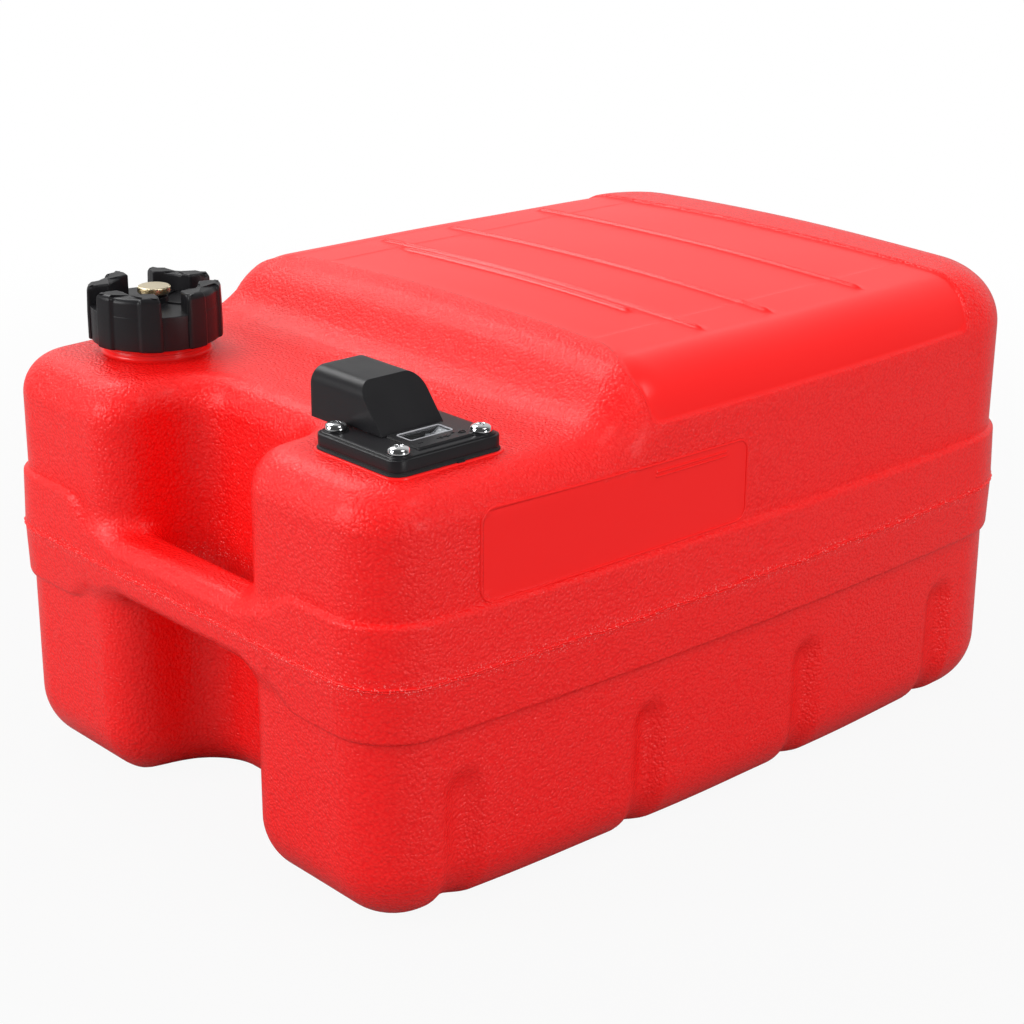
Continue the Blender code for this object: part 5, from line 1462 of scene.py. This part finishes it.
        return Weave().grid(np.concatenate(rows), wrap_columns=True).build(f"pan_screw_{number}", sharp=32)

    def make_spout(self) -> Object:
        """Hose fitting: collar, barrel with a groove for its ring, and a chamfered bored nose, along -X.

        Returns:
            The new piece.
        """
        reach, bore, body, groove, collar = self.spout_reach, 0.0022, 0.0045, 0.0036, 0.0066
        corners = [(bore, -0.0060), (groove, -0.0060), (groove, 0.0003), (collar, 0.0003), (collar, 0.0050),
                   (body, 0.0050), (body, reach - 0.0088), (groove, reach - 0.0088), (groove, reach - 0.0060),
                   (body, reach - 0.0060), (body, reach - 0.0015), (0.0030, reach), (bore, reach)]
        turned = revolved(soft_profile(corners, 0.0003, closed=True), 96, (0.0, 0.0))
        laid = np.stack([self.tower[0] - turned[..., 2], self.shift + turned[..., 1],
                         self.fitting_height + turned[..., 0]], axis=-1)
        return Weave().grid(self.put(laid), wrap_rows=True, wrap_columns=True).build("hose_spout")


class Shading:
    """Small helper that lays out one material's nodes."""

    def __init__(self, name: str, pebble: NodeTree | None = None, specks: NodeTree | None = None) -> None:
        """Makes the material with its Principled shader and Object coordinates.

        Args:
            name: Name of the material.
            pebble: The shared grain.
            specks: The shared specks.
        """
        self.pebble = pebble
        self.specks = specks
        self.material = bpy.data.materials.new(name)
        self.material.use_nodes = True
        self.tree = self.material.node_tree
        self.shader = self.tree.nodes["Principled BSDF"]
        self.coordinates = self.tree.nodes.new("ShaderNodeTexCoord").outputs["Object"]

    def node(self, kind: str, **settings: object) -> Node:
        """Adds a node; settings are its properties, or inputs by name with underscores for spaces."""
        return add_node(self.tree, kind, **settings)

    def link(self, source: NodeSocket, target: NodeSocket) -> None:
        """Links two sockets."""
        self.tree.links.new(source, target)

    def group(self, tree: NodeTree, **values: object) -> Node:
        """Places a shared node group with its own values, fed with the coordinates.

        Args:
            tree: The group.
            values: Its inputs by name.

        Returns:
            The placed group.
        """
        placed = self.node("ShaderNodeGroup")
        placed.node_tree = tree
        for name, value in values.items():
            placed.inputs[name.replace("_", " ")].default_value = value
        self.link(self.coordinates, placed.inputs["Vector"])
        return placed

    def feed(self, source: NodeSocket, label: str) -> None:
        """Links a socket to the shader's input of that name."""
        self.link(source, self.shader.inputs[label])

    def blend(self, first: Iterable[float], second: Iterable[float], share: NodeSocket) -> NodeSocket:
        """Mixes two plain colours by a share, and gives the mixed colour.

        Args:
            first: Colour at share zero.
            second: Colour at share one.
            share: The share.

        Returns:
            The mixed colour's socket.
        """
        made = self.node("ShaderNodeMix", data_type="RGBA")
        made.inputs["A"].default_value = (*first, 1)
        made.inputs["B"].default_value = (*second, 1)
        self.link(share, made.inputs["Factor"])
        return made.outputs["Result"]

    def grain(self, scale: float) -> NodeSocket:
        """Places the shared grain at a scale, and gives its height."""
        return self.group(self.pebble, Scale=scale).outputs["Height"]

    def speckle(self, scale: float, amount: float) -> Node:
        """Places the shared specks at a scale and an amount."""
        return self.group(self.specks, Scale=scale, Amount=amount)

    def set(self, **values: object) -> None:
        """Sets plain values on the shader's sockets."""
        for name, value in values.items():
            self.shader.inputs[name.replace("_", " ")].default_value = value

    def bump(self, height: NodeSocket, strength: float, distance: float) -> None:
        """Feeds a height to the shader's normal through a Bump node.

        Args:
            height: The height.
            strength: Strength of the node.
            distance: Depth of the relief.
        """
        made = self.node("ShaderNodeBump", Strength=strength, Distance=distance)
        self.link(height, made.inputs["Height"])
        self.feed(made.outputs["Normal"], "Normal")


def add_node(tree: NodeTree, kind: str, **settings: object) -> Node:
    """Adds a node to a tree; settings are its properties, or inputs by name.

    Args:
        tree: Where it goes.
        kind: Type of the node.
        settings: Values by name, with underscores for spaces.

    Returns:
        The new node.
    """
    made = tree.nodes.new(kind)
    for name, value in settings.items():
        socket = name.replace("_", " ")
        if socket in made.inputs:
            made.inputs[socket].default_value = value
        else:
            setattr(made, name, value)
    return made


def math_node(tree: NodeTree, operation: str, first: object, second: object = 0.0) -> NodeSocket:
    """Adds a Math node on one or two sockets or numbers, and gives its output.

    Args:
        tree: Where it goes.
        operation: What it does.
        first: Socket or number.
        second: Socket or number.

    Returns:
        The result's socket.
    """
    made = tree.nodes.new("ShaderNodeMath")
    made.operation = operation
    for index, value in enumerate((first, second)):
        if isinstance(value, NodeSocket):
            tree.links.new(value, made.inputs[index])
        else:
            made.inputs[index].default_value = value
    return made.outputs[0]


def wire(tree: NodeTree, *pairs: tuple[NodeSocket, NodeSocket]) -> None:
    """Links each pair of sockets."""
    for source, target in pairs:
        tree.links.new(source, target)


def clamped(tree: NodeTree, value: NodeSocket) -> NodeSocket:
    """Keeps a value between 0 and 1."""
    return math_node(tree, "MINIMUM", math_node(tree, "MAXIMUM", value, 0.0), 1.0)


def new_group(name: str, inputs: dict[str, float], outputs: Iterable[str]) -> NodeTree:
    """Makes a node group with a Vector input, number inputs with defaults, and number outputs.

    Args:
        name: Name of the group.
        inputs: Numbers with their defaults.
        outputs: Names of the outputs.

    Returns:
        The new group, without its inner nodes.
    """
    tree = bpy.data.node_groups.new(name, "ShaderNodeTree")
    tree.interface.new_socket("Vector", in_out="INPUT", socket_type="NodeSocketVector")
    for label, value in inputs.items():
        tree.interface.new_socket(label, in_out="INPUT", socket_type="NodeSocketFloat").default_value = value
    for label in outputs:
        tree.interface.new_socket(label, in_out="OUTPUT", socket_type="NodeSocketFloat")
    tree.nodes.new("NodeGroupInput")
    tree.nodes.new("NodeGroupOutput")
    return tree


def pebble_group() -> NodeTree:
    """Grain of the mould: flat pebbles with narrow valleys, bent by a slow noise, and a finer roughness.

    Returns:
        The new group.
    """
    bend_scale, bend_reach, fine_scale, fine_share = 0.45, 0.0011, 1.9, 0.55
    tree = new_group("pebbled_mould", {"Scale": 600.0}, ("Height",))
    entry, out = tree.nodes["Group Input"], tree.nodes["Group Output"]
    place, scale = entry.outputs["Vector"], entry.outputs["Scale"]
    bend = add_node(tree, "ShaderNodeTexNoise", Detail=2.0)
    push = add_node(tree, "ShaderNodeVectorMath", operation="SCALE")
    push.inputs["Scale"].default_value = bend_reach
    moved = add_node(tree, "ShaderNodeVectorMath", operation="ADD")
    cells = add_node(tree, "ShaderNodeTexVoronoi", feature="SMOOTH_F1")
    cells.inputs["Smoothness"].default_value = 0.35
    fine = add_node(tree, "ShaderNodeTexNoise", Detail=3.0, Roughness=0.6)
    pebble = math_node(tree, "SUBTRACT", 1.0, cells.outputs["Distance"])
    roughness = math_node(tree, "MULTIPLY", fine.outputs["Fac"], fine_share)
    wire(tree, (place, bend.inputs["Vector"]), (bend.outputs["Color"], push.inputs[0]),
         (math_node(tree, "MULTIPLY", scale, bend_scale), bend.inputs["Scale"]),
         (place, moved.inputs[0]), (push.outputs[0], moved.inputs[1]),
         (moved.outputs[0], cells.inputs["Vector"]), (scale, cells.inputs["Scale"]),
         (place, fine.inputs["Vector"]),
         (math_node(tree, "MULTIPLY", scale, fine_scale), fine.inputs["Scale"]),
         (math_node(tree, "ADD", pebble, roughness), out.inputs["Height"]))
    return tree


def speck_group() -> NodeTree:
    """Dust, and pale specks along the seam: sparse specks where a fine noise peaks, and a slow cloud.

    The noise counts from an edge of 0.82, less a quarter of the amount, and rises steeply past it.

    Returns:
        The new group.
    """
    edge_start, amount_share, steepness, cloud_scale = 0.82, 0.25, 14.0, 45.0
    tree = new_group("specks", {"Scale": 900.0, "Amount": 0.3}, ("Specks", "Cloud"))
    entry, out = tree.nodes["Group Input"], tree.nodes["Group Output"]
    place, scale = entry.outputs["Vector"], entry.outputs["Scale"]
    fine = add_node(tree, "ShaderNodeTexNoise", Detail=2.0, Roughness=0.5)
    cloud = add_node(tree, "ShaderNodeTexNoise", Detail=4.0, Scale=cloud_scale)
    drop = math_node(tree, "MULTIPLY", entry.outputs["Amount"], amount_share)
    over = math_node(tree, "SUBTRACT", fine.outputs["Fac"], math_node(tree, "SUBTRACT", edge_start, drop))
    wire(tree, (place, fine.inputs["Vector"]), (scale, fine.inputs["Scale"]),
         (clamped(tree, math_node(tree, "MULTIPLY", over, steepness)), out.inputs["Specks"]),
         (place, cloud.inputs["Vector"]), (cloud.outputs["Fac"], out.inputs["Cloud"]))
    return tree


@dataclass(frozen=True)
class BlownPlastic:
    """Red blown plastic: pebbled, with smooth parts where the mesh's panel attribute is one.

    The tone runs from deep to light with the grain's height about its middle: painted highlight on
    the grain's peaks and painted shade in its valleys. Pale specks lie near the seam. The smooth
    parts are a little duller and have no coat.
    """

    name: str = "red_blown_plastic"
    deep: tuple[float, float, float] = (0.90, 0.0035, 0.0042)
    light: tuple[float, float, float] = (1.00, 0.0160, 0.0135)
    seam_pale: tuple[float, float, float] = (1.0, 0.42, 0.40)
    scale: float = 610.0
    depth: float = 0.00058
    tone: float = 0.44
    # Strength of the painted highlight and painted shade that follow the grain's height.
    painted_grain_shading_gain: float = 1.1
    grain_middle: float = 0.86
    roughness: float = 0.23
    smooth_dulling: float = 0.04
    coat: float = 0.10
    seam: float = 0.134
    seam_fade: float = 160.0
    seam_speck_share: float = 0.55

    def dress(self, shading: Shading) -> None:
        """Lays out the material's nodes.

        Args:
            shading: Nodes of the new material.
        """
        tree = shading.tree
        height = shading.grain(self.scale)
        speckle = shading.speckle(1100.0, 0.85).outputs["Specks"]
        panel = shading.node("ShaderNodeAttribute", attribute_name="panel").outputs["Fac"]
        grained = math_node(tree, "SUBTRACT", 1.0, panel)
        # Painted highlight and painted shade of the grain: higher grain is coloured lighter, its valleys
        # darker.
        above = math_node(tree, "SUBTRACT", height, self.grain_middle)
        high = math_node(tree, "MULTIPLY", above, self.painted_grain_shading_gain)
        tone = math_node(tree, "ADD", self.tone, math_node(tree, "MULTIPLY", high, grained))
        colour = shading.blend(self.deep, self.light, clamped(tree, tone))
        # Pale specks within a few millimetres of the seam, mixed over the red.
        split = shading.node("ShaderNodeSeparateXYZ")
        shading.link(shading.coordinates, split.inputs[0])
        away = math_node(tree, "ABSOLUTE", math_node(tree, "SUBTRACT", split.outputs["Z"], self.seam))
        faded = math_node(tree, "MINIMUM", math_node(tree, "MULTIPLY", away, self.seam_fade), 1.0)
        near = math_node(tree, "SUBTRACT", 1.0, faded)
        seam_specks = math_node(tree, "MULTIPLY", math_node(tree, "MULTIPLY", speckle, near), self.seam_speck_share)
        seam_mix = shading.node("ShaderNodeMix", data_type="RGBA")
        seam_mix.inputs["B"].default_value = (*self.seam_pale, 1)
        shading.link(seam_specks, seam_mix.inputs["Factor"])
        shading.link(colour, seam_mix.inputs["A"])
        shading.feed(seam_mix.outputs["Result"], "Base Color")
        duller = math_node(tree, "MULTIPLY", panel, self.smooth_dulling)
        shading.feed(math_node(tree, "ADD", self.roughness, duller), "Roughness")
        shading.bump(math_node(tree, "MULTIPLY", height, grained), 1.0, self.depth)
        shading.feed(math_node(tree, "MULTIPLY", grained, self.coat), "Coat Weight")
        shading.set(Specular_IOR_Level=0.37, Coat_Roughness=0.14)


@dataclass(frozen=True)
class MouldedPlastic:
    """Moulded plastic with a fine grain, for the black, white and pale parts, rubber and foam.

    Its tone runs from a darker to a lighter shade of one colour with the slow cloud.
    """

    name: str
    colour: tuple[float, float, float]
    roughness: float = 0.36
    grain: float = 2400.0
    depth: float = 0.00005
    shades: tuple[float, float] = (0.82, 1.18)
    roughness_spread: float = 0.14

    def dress(self, shading: Shading) -> None:
        """Lays out the material's nodes.

        Args:
            shading: Nodes of the new material.
        """
        tree = shading.tree
        cloud = shading.speckle(1800.0, 0.2).outputs["Cloud"]
        darker, lighter = ([min(1.0, shade * part) for part in self.colour] for shade in self.shades)
        shading.feed(shading.blend(darker, lighter, cloud), "Base Color")
        spread = math_node(tree, "MULTIPLY", cloud, self.roughness_spread)
        shading.feed(math_node(tree, "ADD", self.roughness - self.roughness_spread / 2, spread), "Roughness")
        shading.bump(shading.grain(self.grain), 0.5, self.depth)
        shading.set(Specular_IOR_Level=0.28)


@dataclass(frozen=True)
class Metal:
    """Bright metal with a very fine grain and a few dull specks."""

    name: str
    colour: tuple[float, float, float]
    roughness: float = 0.14

    def dress(self, shading: Shading) -> None:
        """Lays out the material's nodes.

        Args:
            shading: Nodes of the new material.
        """
        tree = shading.tree
        speckle = shading.speckle(2600.0, 0.6)
        stained = [0.6 * part for part in self.colour]
        shading.feed(shading.blend(self.colour, stained, speckle.outputs["Specks"]), "Base Color")
        dull = math_node(tree, "MULTIPLY", speckle.outputs["Cloud"], 0.16)
        shading.feed(math_node(tree, "ADD", self.roughness - 0.05, dull), "Roughness")
        shading.bump(shading.grain(3000.0), 0.25, 0.00002)
        shading.set(Metallic=1.0)


@dataclass(frozen=True)
class ClearPlastic:
    """Clear gauge window with faint haze."""

    name: str = "clear_window"

    def dress(self, shading: Shading) -> None:
        """Lays out the material's nodes; the haze comes from the specks.

        Args:
            shading: Nodes of the new material.
        """
        haze = math_node(shading.tree, "MULTIPLY", shading.speckle(1500.0, 0.4).outputs["Specks"], 0.25)
        shading.feed(math_node(shading.tree, "ADD", haze, 0.03), "Roughness")
        shading.set(Base_Color=(0.94, 0.96, 0.97, 1), Transmission_Weight=1.0, IOR=1.45)


@dataclass(frozen=True)
class GaugeDial:
    """Dial face: black, with a pale sector about +Y, so that turning shows the level."""

    name: str = "gauge_dial_face"
    place: tuple[float, float] = (0.124, -0.1828)
    black: tuple[float, float, float] = (0.030, 0.031, 0.034)
    pale: tuple[float, float, float] = (0.62, 0.63, 0.66)
    half_sector: float = 0.85

    def dress(self, shading: Shading) -> None:
        """Lays out the material's nodes; the sector comes from the angle round the dial's axis.

        Args:
            shading: Nodes of the new material.
        """
        tree = shading.tree
        split = shading.node("ShaderNodeSeparateXYZ")
        shading.link(shading.coordinates, split.inputs[0])
        right = math_node(tree, "SUBTRACT", split.outputs["X"], self.place[0])
        up = math_node(tree, "SUBTRACT", split.outputs["Y"], self.place[1])
        angle = math_node(tree, "ABSOLUTE", math_node(tree, "ARCTAN2", right, up))
        sector = math_node(tree, "LESS_THAN", angle, self.half_sector)
        shading.feed(shading.blend(self.black, self.pale, sector), "Base Color")
        spread = math_node(tree, "MULTIPLY", shading.speckle(2000.0, 0.3).outputs["Cloud"], 0.2)
        shading.feed(math_node(tree, "ADD", 0.3, spread), "Roughness")


@dataclass
class Studio:
    """Camera, soft lamps, white surroundings and floor."""

    eye: tuple[float, float, float] = (0.89944, -0.82907, 0.57137)
    azimuth: float = 47.826
    elevation: float = 20.2015
    roll: float = 0.3625
    lens: float = 78.53
    aim: tuple[float, float, float] = (0.0, 0.0, 0.12)
    soft_light: float = 0.88
    glossy_range: tuple[float, float, float, float] = (-0.1, 0.85, 0.05, 0.58)
    floor_grey: float = 0.28
    floor_range: tuple[float, float, float, float] = (0.35, 1.3, 0.93, 1.0)
    lamps: tuple[tuple[str, tuple[float, float, float], float, float], ...] = (
        ("lamp_left", (-1.25, -0.05, 1.55), 0.8, 10.0), ("lamp_front", (-0.65, -1.7, 0.90), 0.85, 17.0),
        ("lamp_right", (1.0, 0.2, 1.75), 0.6, 5.0), ("lamp_side", (1.9, 0.1, 0.35), 0.6, 6.0))

    def make_camera(self) -> None:
        """Places the camera at the photograph's angle, without shift or depth of field."""
        data = bpy.data.cameras.new("camera")
        data.lens = self.lens
        data.sensor_width = 36.0
        data.clip_start = 0.05
        data.clip_end = 20.0
        camera = bpy.data.objects.new("camera", data)
        bpy.context.collection.objects.link(camera)
        az, el, roll = (math.radians(value) for value in (self.azimuth, self.elevation, self.roll))
        ahead = Vector((-math.sin(az) * math.cos(el), math.cos(az) * math.cos(el), -math.sin(el)))
        right = ahead.cross(Vector((0, 0, 1))).normalized()
        up = right.cross(ahead)
        right, up = (right * math.cos(roll) + up * math.sin(roll),
                     up * math.cos(roll) - right * math.sin(roll))
        turn = Matrix((right, up, -ahead)).transposed()
        camera.matrix_world = Matrix.Translation(self.eye) @ turn.to_4x4()
        bpy.context.scene.camera = camera

    def ramp(self, tree: NodeTree, value: NodeSocket,
             limits: tuple[float, float, float, float]) -> NodeSocket:
        """Smooth step of a value: from the first two limits to the last two.

        Args:
            tree: Where it goes.
            value: The value.
            limits: From low, from high, to low, to high.

        Returns:
            The result's socket.
        """
        made = add_node(tree, "ShaderNodeMapRange", interpolation_type="SMOOTHSTEP")
        tree.links.new(value, made.inputs["Value"])
        for label, limit in zip(("From Min", "From Max", "To Min", "To Max"), limits):
            made.inputs[label].default_value = limit
        return made.outputs["Result"]

    def make_world(self) -> None:
        """Soft even light. Gloss shows it brighter behind the tank, and the camera sees white."""
        world = bpy.data.worlds.new("studio")
        world.use_nodes = True
        bpy.context.scene.world = world
        tree = world.node_tree
        tree.nodes.clear()
        path = tree.nodes.new("ShaderNodeLightPath")
        seen = math_node(tree, "MAXIMUM", path.outputs["Is Camera Ray"], path.outputs["Is Transmission Ray"])
        soft = add_node(tree, "ShaderNodeBackground", Color=(1, 1, 1, 1), Strength=self.soft_light)
        glossy = add_node(tree, "ShaderNodeBackground", Color=(1, 1, 1, 1))
        toward = add_node(tree, "ShaderNodeVectorMath", operation="DOT_PRODUCT")
        azimuth = math.radians(self.azimuth)
        toward.inputs[1].default_value = (-math.sin(azimuth), math.cos(azimuth), 0)
        white = add_node(tree, "ShaderNodeBackground", Color=(1, 1, 1, 1), Strength=1.0)
        mix, last = tree.nodes.new("ShaderNodeMixShader"), tree.nodes.new("ShaderNodeMixShader")
        out = tree.nodes.new("ShaderNodeOutputWorld")
        wire(tree, (tree.nodes.new("ShaderNodeTexCoord").outputs["Generated"], toward.inputs[0]),
             (self.ramp(tree, toward.outputs["Value"], self.glossy_range), glossy.inputs["Strength"]),
             (path.outputs["Is Glossy Ray"], mix.inputs[0]), (soft.outputs[0], mix.inputs[1]),
             (glossy.outputs[0], mix.inputs[2]), (seen, last.inputs[0]), (mix.outputs[0], last.inputs[1]),
             (white.outputs[0], last.inputs[2]), (last.outputs[0], out.inputs["Surface"]))

    def make_lamp(self, name: str, place: tuple[float, float, float], size: float, power: float) -> None:
        """Adds a square soft lamp that faces the tank.

        Args:
            name: Name of the lamp.
            place: Where it stands.
            size: Length of its sides.
            power: Watts.
        """
        data = bpy.data.lights.new(name, "AREA")
        data.shape = "SQUARE"
        data.size = size
        data.energy = power
        lamp = bpy.data.objects.new(name, data)
        bpy.context.collection.objects.link(lamp)
        lamp.location = place
        lamp.rotation_euler = (Vector(self.aim) - Vector(place)).to_track_quat("-Z", "Y").to_euler()

    def make_floor(self) -> None:
        """White floor that keeps the shadow, and is otherwise seen as white."""
        places = np.linspace(-4.0, 4.0, 9)
        grid = np.stack([*np.meshgrid(places, places), np.zeros((9, 9))], axis=-1)
        floor = Weave().grid(grid).build("floor")
        shading = Shading("floor_white")
        shading.set(Base_Color=(*[self.floor_grey] * 3, 1), Roughness=0.9, Specular_IOR_Level=0.1)
        tree = shading.tree
        span = add_node(tree, "ShaderNodeVectorMath", operation="LENGTH")
        shading.link(shading.coordinates, span.inputs[0])
        bright = self.ramp(tree, span.outputs["Value"], self.floor_range)
        glow = add_node(tree, "ShaderNodeEmission", Color=(1, 1, 1, 1), Strength=1.0)
        mix = tree.nodes.new("ShaderNodeMixShader")
        path = tree.nodes.new("ShaderNodeLightPath")
        wire(tree, (math_node(tree, "MULTIPLY", path.outputs["Is Camera Ray"], bright), mix.inputs[0]),
             (shading.shader.outputs[0], mix.inputs[1]), (glow.outputs[0], mix.inputs[2]),
             (mix.outputs[0], tree.nodes["Material Output"].inputs["Surface"]))
        floor.data.materials.append(shading.material)

    def build(self) -> None:
        """Makes the whole studio."""
        bpy.context.scene.view_settings.view_transform = "Standard"
        self.make_camera()
        self.make_world()
        self.make_floor()
        for lamp in self.lamps:
            self.make_lamp(*lamp)


def attach(piece: Object, finish: Material, slot: str, body: Body, *nodes: str) -> None:
    """Gives a piece its finish and its body, and hides the CAD nodes that it stands for.

    Args:
        piece: The new piece.
        finish: Its material.
        slot: Name of a material slot; not used.
        body: The body that it rides on.
        nodes: The CAD nodes that it stands for.
    """
    piece.data.materials.append(finish)
    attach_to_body(piece, body.value)
    if nodes:
        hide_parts(*nodes)
    LOG.info("%s: %d faces, rides on %s", piece.name, len(piece.data.polygons), body.value)


def finish_nodes(finishes: dict[str, Material], names: dict[str, tuple[str, ...]]) -> None:
    """Gives the CAD nodes that stay their procedural materials.

    Args:
        finishes: Materials by name.
        names: Node names for each material's name.
    """
    for label, nodes in names.items():
        for name in nodes:
            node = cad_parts[name]
            for holder in node.material_slots:
                holder.material = finishes[label]
            LOG.info("%s keeps its CAD shape, with finish %s", name, label)


def make_finishes() -> dict[str, Material]:
    """Makes the shared node groups and every material.

    Returns:
        Materials by label.
    """
    pebble, specks = pebble_group(), speck_group()
    kinds = {
        "red": BlownPlastic(),
        "black": MouldedPlastic("black_satin_plastic", (0.0120, 0.0116, 0.0132), 0.34),
        "white": MouldedPlastic("white_plastic_part", (0.78, 0.78, 0.76), 0.42),
        "trim": MouldedPlastic("pale_trim", (0.50, 0.50, 0.53), 0.38),
        "rubber": MouldedPlastic("black_rubber_part", (0.017, 0.017, 0.018), 0.55, 1800.0, 0.00006),
        "foam": MouldedPlastic("float_foam", (0.035, 0.035, 0.037), 0.85, 900.0, 0.00025),
        "chrome": Metal("chrome_plate", (0.90, 0.91, 0.92), 0.10),
        "steel": Metal("spring_steel", (0.62, 0.63, 0.64), 0.24),
        "brass": Metal("brass_turned", (0.92, 0.80, 0.56), 0.26),
        "aluminium": Metal("aluminium_tube", (0.80, 0.81, 0.82), 0.30),
        "clear": ClearPlastic(),
        "dial": GaugeDial(),
    }
    made = {}
    for label, kind in kinds.items():
        shading = Shading(kind.name, pebble, specks)
        kind.dress(shading)
        made[label] = shading.material
    return made


def main() -> None:
    """Builds the studio, then the tank's sub-assemblies in order."""
    logging.basicConfig(level=logging.INFO, format="%(message)s")
    Studio().build()
    finishes = make_finishes()

    tank = Tank(TankForm(), GripForm())
    upper, lower = tank.make_shell()
    attach(upper, finishes["red"], "red_plastic", Body.TANK, "tank_body")
    for piece in (lower, tank.make_grip(), tank.make_neck(), tank.make_seam(), tank.make_side_lines(),
                  tank.make_pad()):
        attach(piece, finishes["red"], "red_plastic", Body.TANK)

    drum, *blocks = FillerCap().make()
    attach(drum, finishes["black"], "black_plastic", Body.CAP, "filler_cap")
    for piece in blocks:
        attach(piece, finishes["black"], "black_plastic", Body.CAP)
    attach(VentKnob().make(), finishes["brass"], "brass", Body.VENT, "vent_screw")

    head = PickupHead()
    attach(head.make_seal(), finishes["rubber"], "rubber", Body.TANK, "head_gasket")
    attach(head.make_base(), finishes["black"], "black_plastic", Body.TANK, "head_plate")
    attach(head.make_display(), finishes["black"], "black_plastic", Body.TANK)
    for piece in head.make_frame():
        attach(piece, finishes["trim"], "white_plastic", Body.TANK)
    attach(head.make_hood(), finishes["black"], "black_plastic", Body.TANK, "gauge_hood")
    sides = ((-1, -1, 0.50), (1, -1, 0.15), (-1, 1, 0.9), (1, 1, -0.25))
    for number, (right, rear, turn) in enumerate(sides, 1):
        screw = head.make_screw(number, right, rear, turn)
        attach(screw, finishes["chrome"], "chrome", Body.TANK, f"head_screw_{number}")
    attach(head.make_spout(), finishes["chrome"], "chrome", Body.TANK, "fuel_fitting")

    finish_nodes(finishes, {
        "rubber": ("cap_gasket", "vent_seal", "fitting_ring"),
        "steel": ("vent_clip",),
        "brass": ("thread_insert_1", "thread_insert_2", "thread_insert_3", "thread_insert_4", "fitting_valve",
                  "pickup_strainer"),
        "clear": ("gauge_lens",),
        "dial": ("gauge_dial",),
        "white": ("gauge_shaft",),
        "black": ("gauge_stem", "float_arm"),
        "aluminium": ("gauge_pin", "pickup_tube"),
        "foam": ("float",),
    })


if __name__ == "__main__":
    main()
